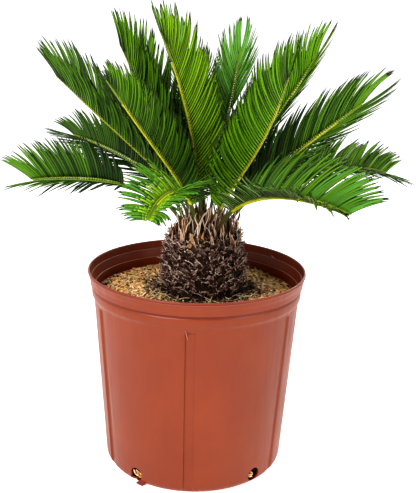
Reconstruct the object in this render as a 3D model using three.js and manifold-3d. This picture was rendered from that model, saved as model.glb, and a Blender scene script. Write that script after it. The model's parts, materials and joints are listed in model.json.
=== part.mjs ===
// Potted sago palm: a young cycad with a squat caudex and a crown of feather-leaved fronds,
// growing in a thin-walled moulded nursery pot filled with potting mix.
// Millimetres, +Z up. Origin: centre of the pot's flat underside.

import * as THREE from "three";
import { mergeVertices } from "three/addons/utils/BufferGeometryUtils.js";
import Module from "manifold-3d";

// ---- pot: 10 inch nursery container, outside sizes ----
const RIM_RADIUS = 130.5;
const POT_HEIGHT = 242;
const LIP_WIDTH = 2.4;
const WALL = 2.2;
const FLOOR = 2.4;
const FOOT_RADIUS = 101;
const WALL_FOOT_RADIUS = 109.6;
const WALL_FOOT_Z = 9;
const WALL_TOP_RADIUS = 123.2;
const WALL_TOP_Z = 206;
const COLLAR_RADIUS = 125.8;
const COLLAR_Z = 219;
const NECK_RADIUS = 124.8;
const NECK_Z = 222;
const BAND_RADIUS = 127.4;
const BAND_Z = 224;
const FLUTES = 6;
const FLUTE_DEPTH = 2;
const FLUTE_TOP_Z = 203;
const AROUND = 72;
const DRAIN_RADIUS = 8.4;
const DRAIN_Z = 12;
const DRAIN_FRONT = -87;
const DRAIN_SPACING = 78;
const TEAR_RADIUS = 4.2;
const TEAR_AZIMUTH = -129;
const TEAR_TOP_Z = 8;

// ---- potting mix ----
const GAP = 0.3;
const SOIL_EDGE_Z = 211;
const SOIL_TOP_Z = 216;
const SOIL_FLAT_RADIUS = 66;

// ---- caudex (trunk) ----
const TRUNK_X = 8;
const TRUNK_FOOT_Z = SOIL_TOP_Z + GAP;
const TRUNK_TOP_Z = 288;
const TRUNK_FOOT_RADIUS = 49.5;
const TRUNK_BELLY_RADIUS = 50.5;
const TRUNK_SHOULDER_RADIUS = 41;
const TRUNK_RIM_RADIUS = 38;
const TRUNK_CUP_RADIUS = 34;
const SCALE_RELIEF = 4;
const SCALES_AROUND = 15;
const SCALE_ROWS = 12;
const RIM_SCALE_HEIGHT = 11;

// ---- fronds ----
const STEM_Z = TRUNK_TOP_Z + GAP;
const SETTLE = 0.2;
const STEM_STEPS = 5;
const PAIRS = 26;
const STALK_HALF_WIDTH = 2.1;
const STALK_HALF_HEIGHT = 1.7;
const RIB_HALF_WIDTH = 1.2;
const RIB_HALF_HEIGHT = 0.85;
const RIB_TIP_SHARE = 0.6;
const LEAFLET_TIP_HALF = 0.4;
const LEAFLET_CLEARANCE = 2.1;
const SHORTER = [1, 0.85, 0.7, 0.55, 0.4];

// One row per frond. azimuth: compass direction of the frond, 0 = +X, 90 = +Y.
// ring: distance of its foot from the caudex axis. upright: lean of the foot of the stalk.
// lean: angle above level that the rib takes at its start and at its tip.
// roll: turn of the blade about the rib. keel: rise out of level of the wing on the right hand
// of someone who looks out along the rib, and of the wing on the left hand.
// spread: angle of the leaflets to the rib, at the blade's foot and at its tip.
// leaflet: length of the longest leaflets. tip: share of that length at the blade's tip.
// bend: true where the stalk turns over a wide gap and is a piece of its own.
const FRONDS = [
  { name: "frond_left_low", azimuth: 188, ring: 27, upright: 86, lean: [17, -3], length: 196, bare: 0.38,
    roll: -38, keel: [38, 26], spread: [70, 50], leaflet: 58, tip: 0.6, bend: true },
  { name: "frond_front_low", azimuth: 251, ring: 27, upright: 86, lean: [58, -30], length: 178, bare: 0.28,
    roll: -20, keel: [16, 40], spread: [80, 52], leaflet: 56, tip: 0.4, bend: true },
  { name: "frond_left_back", azimuth: 155, ring: 27, upright: 86, lean: [30, 12], length: 194, bare: 0.25,
    roll: -22, keel: [38, 2], spread: [65, 22], leaflet: 58, tip: 0.66, bend: true },
  { name: "frond_left_mid", azimuth: 196, ring: 17, upright: 86, lean: [33, 45], length: 238, bare: 0.18,
    roll: -8, keel: [46, 24], spread: [52, 36], leaflet: 80, tip: 0.55, bend: false },
  { name: "frond_left_high", azimuth: 222, ring: 14, upright: 88, lean: [38, 52], length: 222, bare: 0.18,
    roll: 20, keel: [38, 38], spread: [52, 22], leaflet: 70, tip: 0.5, bend: false },
  { name: "frond_left_top", azimuth: 172, ring: 11, upright: 88, lean: [55, 65], length: 230, bare: 0.2,
    roll: 0, keel: [50, 50], spread: [50, 32], leaflet: 74, tip: 0.6, bend: false },
  { name: "frond_top", azimuth: 216, ring: 5, upright: 88, lean: [86, 64], length: 236, bare: 0.2,
    roll: 24, keel: [60, 30], spread: [40, 24], leaflet: 78, tip: 0.35, bend: false },
  { name: "frond_back_left", azimuth: 120, ring: 7, upright: 88, lean: [70, 62], length: 226, bare: 0.2,
    roll: 0, keel: [38, 38], spread: [46, 22], leaflet: 66, tip: 0.66, bend: false },
  { name: "frond_back_high", azimuth: 52, ring: 8, upright: 88, lean: [65, 78], length: 216, bare: 0.2,
    roll: 0, keel: [16, 34], spread: [36, 22], leaflet: 66, tip: 0.6, bend: false },
  { name: "frond_right_high", azimuth: 318, ring: 13, upright: 82, lean: [28, 74], length: 212, bare: 0.16,
    roll: 0, keel: [38, 38], spread: [56, 28], leaflet: 74, tip: 0.66, bend: false },
  { name: "frond_right_top", azimuth: 12, ring: 12, upright: 84, lean: [44, 61], length: 236, bare: 0.18,
    roll: 26, keel: [38, 38], spread: [55, 24], leaflet: 72, tip: 0.66, bend: false },
  { name: "frond_right_mid", azimuth: 345, ring: 20, upright: 74, lean: [36, 40], length: 222, bare: 0.18,
    roll: 55, keel: [30, 34], spread: [40, 18], leaflet: 68, tip: 0.66, bend: false },
  { name: "frond_right_back", azimuth: 14, ring: 27, upright: 68, lean: [64, -36], length: 242, bare: 0.28,
    roll: 18, keel: [16, 24], spread: [52, 46], leaflet: 56, tip: 0.6, bend: true },
  { name: "frond_right_low", azimuth: 302, ring: 27, upright: 66, lean: [25, -5], length: 246, bare: 0.2,
    roll: 10, keel: [30, 46], spread: [62, 36], leaflet: 74, tip: 0.6, bend: true },
  { name: "frond_rear_low", azimuth: 98, ring: 27, upright: 84, lean: [24, -14], length: 214, bare: 0.28,
    roll: 0, keel: [34, 34], spread: [66, 38], leaflet: 62, tip: 0.66, bend: true },
  { name: "frond_rear_right_low", azimuth: 56, ring: 27, upright: 84, lean: [26, -6], length: 218, bare: 0.28,
    roll: 8, keel: [34, 34], spread: [64, 36], leaflet: 62, tip: 0.66, bend: true },
  { name: "frond_rear_left_low", azimuth: 128, ring: 27, upright: 84, lean: [30, -2], length: 218, bare: 0.28,
    roll: -8, keel: [34, 34], spread: [64, 36], leaflet: 62, tip: 0.66, bend: true },
  { name: "frond_rear_right_mid", azimuth: 42, ring: 18, upright: 86, lean: [46, 44], length: 226, bare: 0.2,
    roll: 0, keel: [38, 38], spread: [54, 28], leaflet: 66, tip: 0.66, bend: false },
  { name: "frond_rear_left_mid", azimuth: 140, ring: 18, upright: 86, lean: [44, 34], length: 206, bare: 0.2,
    roll: 0, keel: [38, 38], spread: [54, 28], leaflet: 66, tip: 0.66, bend: false },
  { name: "frond_rear_mid", azimuth: 96, ring: 16, upright: 86, lean: [46, 42], length: 226, bare: 0.2,
    roll: 0, keel: [38, 38], spread: [54, 28], leaflet: 66, tip: 0.66, bend: false },
];

const RAD = Math.PI / 180;

const wasm = await Module();
wasm.setup();

const material = {
  pot: new THREE.MeshStandardMaterial({ color: 0xb5573a, roughness: 0.45, metalness: 0 }),
  soil: new THREE.MeshStandardMaterial({ color: 0xb89a58, roughness: 1, metalness: 0 }),
  trunk: new THREE.MeshStandardMaterial({ color: 0x4a3a30, roughness: 0.95, metalness: 0 }),
  frond: new THREE.MeshStandardMaterial({ color: 0x3f7a12, roughness: 0.5, metalness: 0 }),
};

const group = new THREE.Group();

function addMesh(name, geometry, kind) {
  const mesh = new THREE.Mesh(geometry, material[kind]);
  mesh.name = name;
  group.add(mesh);
}

// ---- solids turned about the vertical axis ----

function welded(geometry) {
  geometry.deleteAttribute("normal");
  geometry.deleteAttribute("uv");
  return mergeVertices(geometry, 1e-4);
}

// A LatheGeometry spins about Y: its axis is turned to Z and its faces made to point out.
function turned(profile, segments) {
  const points = profile.map(([radius, z]) => new THREE.Vector2(radius, z));
  const geometry = new THREE.LatheGeometry(points, segments);
  geometry.rotateX(Math.PI / 2);
  return welded(geometry);
}

// Presses the shallow vertical flutes into a wall, inside and out alike.
function fluted(geometry) {
  const at = geometry.getAttribute("position");
  const pitch = (2 * Math.PI) / FLUTES;
  for (let i = 0; i < at.count; i += 1) {
    const x = at.getX(i);
    const y = at.getY(i);
    const z = at.getZ(i);
    const radius = Math.hypot(x, y);
    const turn = (Math.atan2(y, x) + Math.PI / 2) / pitch;
    const onFlute = Math.abs(turn - Math.round(turn)) < 0.02;
    if (onFlute && radius > 100 && z > WALL * 0.5 && z <= FLUTE_TOP_Z + 1) {
      const depth = FLUTE_DEPTH * Math.min(1, z / WALL_FOOT_Z);
      at.setXY(i, (x * (radius - depth)) / radius, (y * (radius - depth)) / radius);
    }
  }
  return geometry;
}

function wallRadius(z) {
  const share = (z - WALL_FOOT_Z) / (WALL_TOP_Z - WALL_FOOT_Z);
  return WALL_FOOT_RADIUS + (WALL_TOP_RADIUS - WALL_FOOT_RADIUS) * share;
}

function toManifold(geometry) {
  const vertProperties = new Float32Array(geometry.getAttribute("position").array);
  const triVerts = new Uint32Array(geometry.getIndex().array);
  return new wasm.Manifold(new wasm.Mesh({ numProp: 3, vertProperties, triVerts }));
}

function fromManifold(solid) {
  const mesh = solid.getMesh();
  const geometry = new THREE.BufferGeometry();
  geometry.setAttribute("position", new THREE.BufferAttribute(mesh.vertProperties, 3));
  geometry.setIndex(new THREE.BufferAttribute(mesh.triVerts, 1));
  return geometry;
}

// ---- pot ----

const potProfile = [
  [0, 0],
  [FOOT_RADIUS, 0],
  [FOOT_RADIUS + 5.4, 2.4],
  [WALL_FOOT_RADIUS, WALL_FOOT_Z],
  [wallRadius(FLUTE_TOP_Z), FLUTE_TOP_Z],
  [wallRadius(WALL_TOP_Z + 2), WALL_TOP_Z + 2],
  [COLLAR_RADIUS, COLLAR_Z],
  [NECK_RADIUS, NECK_Z],
  [BAND_RADIUS, BAND_Z],
  [RIM_RADIUS, POT_HEIGHT - 2],
  [RIM_RADIUS - 0.6, POT_HEIGHT],
  [RIM_RADIUS - LIP_WIDTH, POT_HEIGHT],
  [BAND_RADIUS - WALL, BAND_Z],
  [NECK_RADIUS - WALL, NECK_Z],
  [wallRadius(WALL_TOP_Z) - WALL, WALL_TOP_Z],
  [wallRadius(FLUTE_TOP_Z) - WALL, FLUTE_TOP_Z],
  [WALL_FOOT_RADIUS - WALL, WALL_FOOT_Z],
  [FOOT_RADIUS + 2, FLOOR],
  [0, FLOOR],
];
let pot = toManifold(fluted(turned(potProfile, AROUND)));

// Two pairs of drain holes, front and rear.
for (const face of [DRAIN_FRONT, DRAIN_FRONT + 180]) {
  for (const hand of [-0.5, 0.5]) {
    const cutter = new THREE.CylinderGeometry(DRAIN_RADIUS, DRAIN_RADIUS, 30, 16);
    cutter.rotateZ(Math.PI / 2);
    cutter.translate(WALL_FOOT_RADIUS, 0, DRAIN_Z);
    cutter.rotateZ((face + hand * DRAIN_SPACING) * RAD);
    pot = pot.subtract(toManifold(welded(cutter)));
  }
}

// The left front hole is torn open down to the underside.
const tear = new THREE.CylinderGeometry(TEAR_RADIUS, TEAR_RADIUS, 2 * TEAR_TOP_Z, 12);
tear.rotateX(Math.PI / 2);
tear.translate(WALL_FOOT_RADIUS - WALL, 0, 0);
tear.rotateZ(TEAR_AZIMUTH * RAD);
pot = pot.subtract(toManifold(welded(tear)));
addMesh("pot", fromManifold(pot), "pot");

// ---- potting mix: fills the pot, flat under the caudex ----

const soilProfile = [
  [0, FLOOR + GAP],
  [FOOT_RADIUS + 1.4, FLOOR + GAP],
  [WALL_FOOT_RADIUS - WALL - 0.5, WALL_FOOT_Z + 0.2],
  [wallRadius(FLUTE_TOP_Z) - WALL - 0.5, FLUTE_TOP_Z],
  [wallRadius(WALL_TOP_Z) - WALL - 1.5, SOIL_EDGE_Z - 2],
  [wallRadius(WALL_TOP_Z) - WALL - 3, SOIL_EDGE_Z],
  [98, SOIL_EDGE_Z + 2.5],
  [SOIL_FLAT_RADIUS, SOIL_TOP_Z],
  [0, SOIL_TOP_Z],
];
addMesh("soil", fluted(turned(soilProfile, AROUND)), "soil");

// ---- caudex: a barrel clad in lozenge-shaped leaf bases, with a ring of taller ones at the top ----

function barrelRadius(share) {
  const belly = TRUNK_FOOT_RADIUS + (TRUNK_BELLY_RADIUS - TRUNK_FOOT_RADIUS) * Math.sin(Math.PI * share);
  return belly - (belly - TRUNK_SHOULDER_RADIUS) * share ** 3;
}

function caudex() {
  const sides = SCALES_AROUND * 2;
  const rings = [];
  for (let row = 0; row <= SCALE_ROWS; row += 1) {
    const share = row / SCALE_ROWS;
    const z = TRUNK_FOOT_Z + (TRUNK_TOP_Z - TRUNK_FOOT_Z) * share;
    const relief = row === 0 ? 0 : SCALE_RELIEF;
    rings.push({ radius: barrelRadius(share), z, relief, lift: 0, row });
  }
  const last = SCALE_ROWS + 1;
  rings.push({ radius: TRUNK_RIM_RADIUS, z: TRUNK_TOP_Z + 3, relief: 1.5, lift: RIM_SCALE_HEIGHT, row: last });
  rings.push({ radius: TRUNK_CUP_RADIUS, z: TRUNK_TOP_Z, relief: 0, lift: 0, row: last });
  const position = [];
  for (const ring of rings) {
    for (let i = 0; i < sides; i += 1) {
      const angle = (i * 2 * Math.PI) / sides;
      const proud = (i + ring.row) % 2 === 0;
      const radius = ring.radius + (proud ? ring.relief : -0.5 * ring.relief);
      const z = ring.z + (proud ? ring.lift : 0);
      position.push(TRUNK_X + radius * Math.cos(angle), radius * Math.sin(angle), z);
    }
  }
  position.push(TRUNK_X, 0, TRUNK_FOOT_Z, TRUNK_X, 0, TRUNK_TOP_Z);
  const foot = rings.length * sides;
  const cup = foot + 1;
  const index = [];
  for (let i = 0; i < sides; i += 1) {
    const next = (i + 1) % sides;
    index.push(foot, next, i);
    index.push(cup, (rings.length - 1) * sides + i, (rings.length - 1) * sides + next);
    for (let row = 0; row < rings.length - 1; row += 1) {
      const a = row * sides + i;
      const b = row * sides + next;
      const c = b + sides;
      const d = a + sides;
      if ((i + row) % 2 === 0) {
        index.push(a, b, d, b, c, d);
      } else {
        index.push(a, b, c, a, c, d);
      }
    }
  }
  const geometry = new THREE.BufferGeometry();
  geometry.setAttribute("position", new THREE.Float32BufferAttribute(position, 3));
  geometry.setIndex(index);
  return geometry;
}
addMesh("trunk", caudex(), "trunk");

// ---- fronds ----

// Rib of a frond: the lean runs evenly from its first to its last value, and the foot of the
// stalk starts upright and settles to that lean over the first part of the length.
function ribStations(frond) {
  const [lean0, lean1] = frond.lean;
  const steps = 200;
  const out = new THREE.Vector3(Math.cos(frond.azimuth * RAD), Math.sin(frond.azimuth * RAD), 0);
  const point = new THREE.Vector3(TRUNK_X, 0, STEM_Z).addScaledVector(out, frond.ring);
  const fine = [];
  for (let i = 0; i <= steps; i += 1) {
    const u = i / steps;
    const settled = lean0 + (lean1 - lean0) * u + (frond.upright - lean0) * Math.exp(-u / SETTLE);
    const lean = (i === 0 ? 90 : settled) * RAD;
    const along = out.clone().multiplyScalar(Math.cos(lean)).setZ(Math.sin(lean));
    const up = out.clone().multiplyScalar(-Math.sin(lean)).setZ(Math.cos(lean));
    const across = new THREE.Vector3().crossVectors(along, up);
    const roll = frond.roll * RAD;
    const normal = up.clone().multiplyScalar(Math.cos(roll)).addScaledVector(across, Math.sin(roll));
    const side = across.multiplyScalar(Math.cos(roll)).addScaledVector(up, -Math.sin(roll));
    fine.push({ point: point.clone(), along, normal, side });
    point.addScaledVector(along, frond.length / steps);
  }
  const shares = [];
  for (let i = 0; i < STEM_STEPS; i += 1) {
    shares.push((frond.bare * i) / STEM_STEPS);
  }
  for (let i = 0; i <= PAIRS; i += 1) {
    shares.push(frond.bare + ((1 - frond.bare) * i) / PAIRS);
  }
  return shares.map((u, i) => {
    const station = fine[Math.round(u * steps)];
    const blade = Math.max(0, (i - STEM_STEPS) / PAIRS);
    const stalk = Math.max(0, 1 - i / STEM_STEPS);
    const narrow = 1 - (1 - RIB_TIP_SHARE) * blade;
    const halfWidth = (RIB_HALF_WIDTH + (STALK_HALF_WIDTH - RIB_HALF_WIDTH) * stalk) * narrow;
    const halfHeight = (RIB_HALF_HEIGHT + (STALK_HALF_HEIGHT - RIB_HALF_HEIGHT) * stalk) * narrow;
    return { ...station, blade, halfWidth, halfHeight };
  });
}

// Share of the full leaflet length at a place along the blade.
function leafletShare(frond, blade) {
  const places = [0, 0.06, 0.2, 0.45, 0.75, 0.92, 1];
  const shares = [0.3, 0.6, 0.9, 1, 0.95, (1 + frond.tip) / 2, frond.tip];
  let i = 1;
  while (i < places.length - 1 && blade > places[i]) {
    i += 1;
  }
  const part = (blade - places[i - 1]) / (places[i] - places[i - 1]);
  return shares[i - 1] + (shares[i] - shares[i - 1]) * part;
}

// Direction of a leaflet: leaves the rib at the spread angle, in the plane of its wing.
function leafletDirection(frond, station, blade, hand) {
  const spread = (frond.spread[0] + (frond.spread[1] - frond.spread[0]) * blade ** 1.3) * RAD;
  const keel = frond.keel[hand > 0 ? 0 : 1] * RAD;
  const wing = station.side.clone().multiplyScalar(hand * Math.cos(keel));
  wing.addScaledVector(station.normal, Math.sin(keel));
  return station.along.clone().multiplyScalar(Math.cos(spread)).addScaledVector(wing, Math.sin(spread));
}

function segmentGap(p0, p1, q0, q1) {
  const d1 = p1.clone().sub(p0);
  const d2 = q1.clone().sub(q0);
  const r = p0.clone().sub(q0);
  const a = d1.dot(d1);
  const e = d2.dot(d2);
  const b = d1.dot(d2);
  const c = d1.dot(r);
  const f = d2.dot(r);
  const denominator = a * e - b * b;
  let s = denominator > 1e-9 ? THREE.MathUtils.clamp((b * f - c * e) / denominator, 0, 1) : 0;
  const t = THREE.MathUtils.clamp((b * s + f) / e, 0, 1);
  s = THREE.MathUtils.clamp((b * t - c) / a, 0, 1);
  return p0.clone().addScaledVector(d1, s).distanceTo(q0.clone().addScaledVector(d2, t));
}

const scratch = new THREE.Vector3();
const ray = new THREE.Ray();

function pierces(p0, p1, triangle) {
  const span = p0.distanceTo(p1);
  ray.origin.copy(p0);
  ray.direction.copy(p1).sub(p0).divideScalar(span);
  const hit = ray.intersectTriangle(triangle.a, triangle.b, triangle.c, false, scratch);
  return hit !== null && hit.distanceTo(p0) <= span;
}

function corners(triangle) {
  return [triangle.a, triangle.b, triangle.c];
}

// Least distance between two thin leaflets, taken as triangles; 0 where they cross.
function leafletGap(one, two) {
  const p = corners(one);
  const q = corners(two);
  let gap = Infinity;
  for (let i = 0; i < 3; i += 1) {
    const p1 = p[(i + 1) % 3];
    const q1 = q[(i + 1) % 3];
    if (pierces(p[i], p1, two) || pierces(q[i], q1, one)) {
      return 0;
    }
    gap = Math.min(gap, two.closestPointToPoint(p[i], scratch).distanceTo(p[i]));
    gap = Math.min(gap, one.closestPointToPoint(q[i], scratch).distanceTo(q[i]));
    for (let j = 0; j < 3; j += 1) {
      gap = Math.min(gap, segmentGap(p[i], p1, q[j], q[(j + 1) % 3]));
    }
  }
  return gap;
}

function stemGap(leaflet, start, end) {
  if (pierces(start, end, leaflet)) {
    return 0;
  }
  const p = corners(leaflet);
  let gap = leaflet.closestPointToPoint(start, scratch).distanceTo(start);
  gap = Math.min(gap, leaflet.closestPointToPoint(end, scratch).distanceTo(end));
  for (let i = 0; i < 3; i += 1) {
    gap = Math.min(gap, segmentGap(p[i], p[(i + 1) % 3], start, end));
  }
  return gap;
}

const ribs = FRONDS.map((frond) => ribStations(frond));
const grown = [];

function ball(points) {
  const box = new THREE.Box3().setFromPoints(points);
  return box.getBoundingSphere(new THREE.Sphere());
}

// Segments of every rib, each with the room that a leaflet keeps from its centre line.
const ribSegments = [];
ribs.forEach((stations, owner) => {
  for (let i = 0; i < stations.length - 1; i += 1) {
    const room = LEAFLET_CLEARANCE + stations[i].halfWidth + 0.3;
    const start = stations[i].point;
    const end = stations[i + 1].point;
    ribSegments.push({ owner, start, end, room, reach: ball([start, end]) });
  }
});

function isClear(leaflet, owner) {
  const reach = ball(corners(leaflet));
  for (const other of grown) {
    if (other.owner !== owner && reach.center.distanceTo(other.reach.center)
      < reach.radius + other.reach.radius + LEAFLET_CLEARANCE
      && leafletGap(leaflet, other.leaflet) < LEAFLET_CLEARANCE) {
      return false;
    }
  }
  for (const rib of ribSegments) {
    if (rib.owner !== owner && reach.center.distanceTo(rib.reach.center)
      < reach.radius + rib.reach.radius + rib.room
      && stemGap(leaflet, rib.start, rib.end) < rib.room) {
      return false;
    }
  }
  return true;
}

// The leaflet between two stations: full length if it has room, else shorter, else none.
function growLeaflet(frond, owner, near, far, hand) {
  const blade = (near.blade + far.blade) / 2;
  const middle = near.point.clone().add(far.point).multiplyScalar(0.5);
  const direction = leafletDirection(frond, near, blade, hand);
  const a = near.point.clone().addScaledVector(near.side, hand * near.halfWidth);
  const b = far.point.clone().addScaledVector(far.side, hand * far.halfWidth);
  for (const share of SHORTER) {
    const length = frond.leaflet * leafletShare(frond, blade) * share;
    const tip = middle.clone().addScaledVector(direction, length);
    const leaflet = new THREE.Triangle(a, b, tip);
    if (isClear(leaflet, owner)) {
      grown.push({ owner, leaflet, reach: ball(corners(leaflet)) });
      return leaflet;
    }
  }
  return null;
}

// Rib of rectangular section from station first to station last, with a leaflet or a plain
// side face in each step of the blade.
function feather(stations, first, last, leaflets) {
  const position = [];
  const index = [];
  const put = (point) => {
    position.push(point.x, point.y, point.z);
    return position.length / 3 - 1;
  };
  const rings = [];
  for (let i = first; i <= last; i += 1) {
    const s = stations[i];
    const ring = {};
    for (const [key, hand, level] of [["rt", 1, 1], ["rb", 1, -1], ["lb", -1, -1], ["lt", -1, 1]]) {
      const corner = s.point.clone().addScaledVector(s.side, hand * s.halfWidth);
      ring[key] = put(corner.addScaledVector(s.normal, level * s.halfHeight));
    }
    rings.push(ring);
  }
  const face = (hand, a, b, c) => {
    index.push(a, hand > 0 ? b : c, hand > 0 ? c : b);
  };
  for (let k = 0; k < rings.length - 1; k += 1) {
    const near = rings[k];
    const far = rings[k + 1];
    index.push(near.lt, near.rt, far.rt, near.lt, far.rt, far.lt);
    index.push(near.lb, far.lb, far.rb, near.lb, far.rb, near.rb);
    for (const hand of [1, -1]) {
      const aTop = hand > 0 ? near.rt : near.lt;
      const aLow = hand > 0 ? near.rb : near.lb;
      const cTop = hand > 0 ? far.rt : far.lt;
      const cLow = hand > 0 ? far.rb : far.lb;
      const leaflet = leaflets.get(`${first + k},${hand}`);
      if (leaflet) {
        const plane = leaflet.getNormal(new THREE.Vector3());
        if (plane.dot(stations[first + k].normal) < 0) {
          plane.negate();
        }
        const tipTop = put(leaflet.c.clone().addScaledVector(plane, LEAFLET_TIP_HALF));
        const tipLow = put(leaflet.c.clone().addScaledVector(plane, -LEAFLET_TIP_HALF));
        face(hand, cTop, aTop, tipTop);
        face(hand, aLow, cLow, tipLow);
        face(hand, aLow, tipLow, tipTop);
        face(hand, aLow, tipTop, aTop);
        face(hand, cTop, tipTop, tipLow);
        face(hand, cTop, tipLow, cLow);
      } else {
        face(hand, aLow, cLow, cTop);
        face(hand, aLow, cTop, aTop);
      }
    }
  }
  const foot = rings[0];
  const end = rings[rings.length - 1];
  index.push(foot.rt, foot.lt, foot.lb, foot.rt, foot.lb, foot.rb);
  index.push(end.lt, end.rt, end.rb, end.lt, end.rb, end.lb);
  const geometry = new THREE.BufferGeometry();
  geometry.setAttribute("position", new THREE.Float32BufferAttribute(position, 3));
  geometry.setIndex(index);
  return geometry;
}

FRONDS.forEach((frond, owner) => {
  const stations = ribs[owner];
  const leaflets = new Map();
  for (let i = STEM_STEPS; i < stations.length - 1; i += 1) {
    for (const hand of [1, -1]) {
      const leaflet = growLeaflet(frond, owner, stations[i], stations[i + 1], hand);
      if (leaflet) {
        leaflets.set(`${i},${hand}`, leaflet);
      }
    }
  }
  if (frond.bend) {
    const joint = stations[STEM_STEPS];
    const stalk = stations.slice(0, STEM_STEPS);
    const shortened = joint.point.clone().addScaledVector(joint.along, -GAP);
    stalk.push({ ...joint, point: shortened });
    addMesh(frond.name.replace("frond", "stalk"), feather(stalk, 0, STEM_STEPS, new Map()), "frond");
    addMesh(frond.name, feather(stations, STEM_STEPS, stations.length - 1, leaflets), "frond");
  } else {
    addMesh(frond.name, feather(stations, 0, stations.length - 1, leaflets), "frond");
  }
});

export default group;
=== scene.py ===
"""A young sago palm in a moulded nursery pot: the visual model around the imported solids.

Sizes are millimetres, and become metres where a mesh is made. +Z is up, and the origin is the
centre of the pot's underside, as in the solids.
"""
import json
from collections import namedtuple

import bpy
import numpy as np
from mathutils import Matrix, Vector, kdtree

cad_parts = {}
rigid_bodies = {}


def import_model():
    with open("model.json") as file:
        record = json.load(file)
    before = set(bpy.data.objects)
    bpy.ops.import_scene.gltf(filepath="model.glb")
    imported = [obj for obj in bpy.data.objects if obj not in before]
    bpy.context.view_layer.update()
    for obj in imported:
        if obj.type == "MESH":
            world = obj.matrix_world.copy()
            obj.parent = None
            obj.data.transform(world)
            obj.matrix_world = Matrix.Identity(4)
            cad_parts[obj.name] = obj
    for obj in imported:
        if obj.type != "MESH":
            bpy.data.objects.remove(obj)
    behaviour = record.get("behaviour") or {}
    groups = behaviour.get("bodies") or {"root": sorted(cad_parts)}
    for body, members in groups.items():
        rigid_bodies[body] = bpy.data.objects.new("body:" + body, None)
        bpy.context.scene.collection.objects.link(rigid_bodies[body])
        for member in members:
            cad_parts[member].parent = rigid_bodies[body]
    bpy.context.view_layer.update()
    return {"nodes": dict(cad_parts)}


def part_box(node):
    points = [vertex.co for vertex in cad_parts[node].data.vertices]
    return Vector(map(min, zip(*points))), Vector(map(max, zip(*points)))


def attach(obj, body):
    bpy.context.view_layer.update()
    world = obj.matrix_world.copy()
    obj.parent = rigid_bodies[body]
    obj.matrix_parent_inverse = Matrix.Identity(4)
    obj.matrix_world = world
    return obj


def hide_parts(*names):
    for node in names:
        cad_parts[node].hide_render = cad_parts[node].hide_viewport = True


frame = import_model()


# ---- Studio ----
# The plant stands on a wide plain white floor, whose faint glow is that of a lit studio sweep.
# A soft lamp at the upper left in front does most of the lighting, with weaker ones at the right
# and behind. The surroundings are white round the horizon and dimmer overhead.

UP = np.array([0, 0, 1])
AIM = np.array([12.4, 0, 268])
CAMERA_DISTANCE = 984
CAMERA_ELEVATION = 15.74
CAMERA_ROLL = 1.55
LENS = 60
SENSOR_WIDTH = 36
FLOOR_HALF = 60000
FLOOR_DROP = 0.2
FLOOR_GLOW = 0.45
HORIZON = 1.0
OVERHEAD = 0.35
OVERHEAD_FROM = 0.6
# Each lamp: its place, the side of its square panel, and its power in watts.
LAMPS = {
    "key_lamp": ((-1100, -1500, 1600), 900, 36),
    "fill_lamp": ((1500, -1100, 900), 900, 10),
    "rim_lamp": ((900, 1500, 1300), 900, 10),
}


def linear(colour):
    """sRGB hex to linear: c / 12.92 up to 0.04045, and ((c + 0.055) / 1.055) ^ 2.4 above it."""
    c = np.array([colour >> 16 & 255, colour >> 8 & 255, colour & 255]) / 255
    rgb = np.where(c <= 0.04045, c / 12.92, ((c + 0.055) / 1.055) ** 2.4)
    return (*rgb.tolist(), 1)


def unit(v):
    """Each vector divided by its own length."""
    return v / np.linalg.norm(v, axis=-1, keepdims=True)


def add(tree, kind, values=None, links=None, **settings):
    """Adds one node: settings are its properties, values its plain inputs, links what feeds it."""
    made = tree.nodes.new(kind)
    for name, value in settings.items():
        setattr(made, name, value)
    for name, value in (values or {}).items():
        made.inputs[name].default_value = value
    for name, output in (links or {}).items():
        tree.links.new(output, made.inputs[name])
    return made


def finish(name, colour, roughness, **sockets):
    """An opaque finish: its shader has this colour, roughness and any other plain sockets."""
    made = bpy.data.materials.new(name)
    made.use_nodes = True
    tree = made.node_tree
    shader = tree.nodes["Principled BSDF"]
    shader.inputs["Base Color"].default_value = linear(colour)
    shader.inputs["Roughness"].default_value = roughness
    for socket, value in sockets.items():
        shader.inputs[socket.replace("_", " ")].default_value = value
    return made, tree, shader


def solid(name, points, faces, material, slot=None, smooth=True):
    """Puts points (mm) and triangles into a mesh object, which rides on the plant's one body when a slot
    is given.
    """
    mesh = bpy.data.meshes.new(name)
    mesh.vertices.add(len(points))
    mesh.vertices.foreach_set("co", (points / 1000).astype(np.float32).ravel())
    mesh.loops.add(faces.size)
    mesh.loops.foreach_set("vertex_index", faces.astype(np.int32).ravel())
    mesh.polygons.add(len(faces))
    mesh.polygons.foreach_set("loop_start", np.arange(0, faces.size, 3, dtype=np.int32))
    mesh.polygons.foreach_set("use_smooth", np.full(len(faces), smooth))
    mesh.update(calc_edges=True)
    mesh.materials.append(material)
    made = bpy.data.objects.new(name, mesh)
    bpy.context.collection.objects.link(made)
    if slot:
        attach(made, "root")
    return made


def turned_to(ahead, up, place):
    """Matrix of a lamp or camera: it looks along ahead, has up above it and stands at place (mm)."""
    right = unit(np.cross(ahead, up))
    above = np.cross(right, ahead)
    rows = np.stack([right, above, -ahead, place / 1000], axis=1)
    return Matrix([*rows.tolist(), [0, 0, 0, 1]])


elevation = np.radians(CAMERA_ELEVATION)
roll = np.radians(CAMERA_ROLL)
ahead = np.array([0, np.cos(elevation), -np.sin(elevation)])
level_up = np.array([0, np.sin(elevation), np.cos(elevation)])
camera_up = level_up * np.cos(roll) - np.array([1, 0, 0]) * np.sin(roll)
camera = bpy.data.objects.new("camera", bpy.data.cameras.new("camera"))
camera.data.lens = LENS
camera.data.sensor_width = SENSOR_WIDTH
camera.matrix_world = turned_to(ahead, camera_up, AIM - ahead * CAMERA_DISTANCE)
bpy.context.collection.objects.link(camera)
bpy.context.scene.camera = camera

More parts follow.
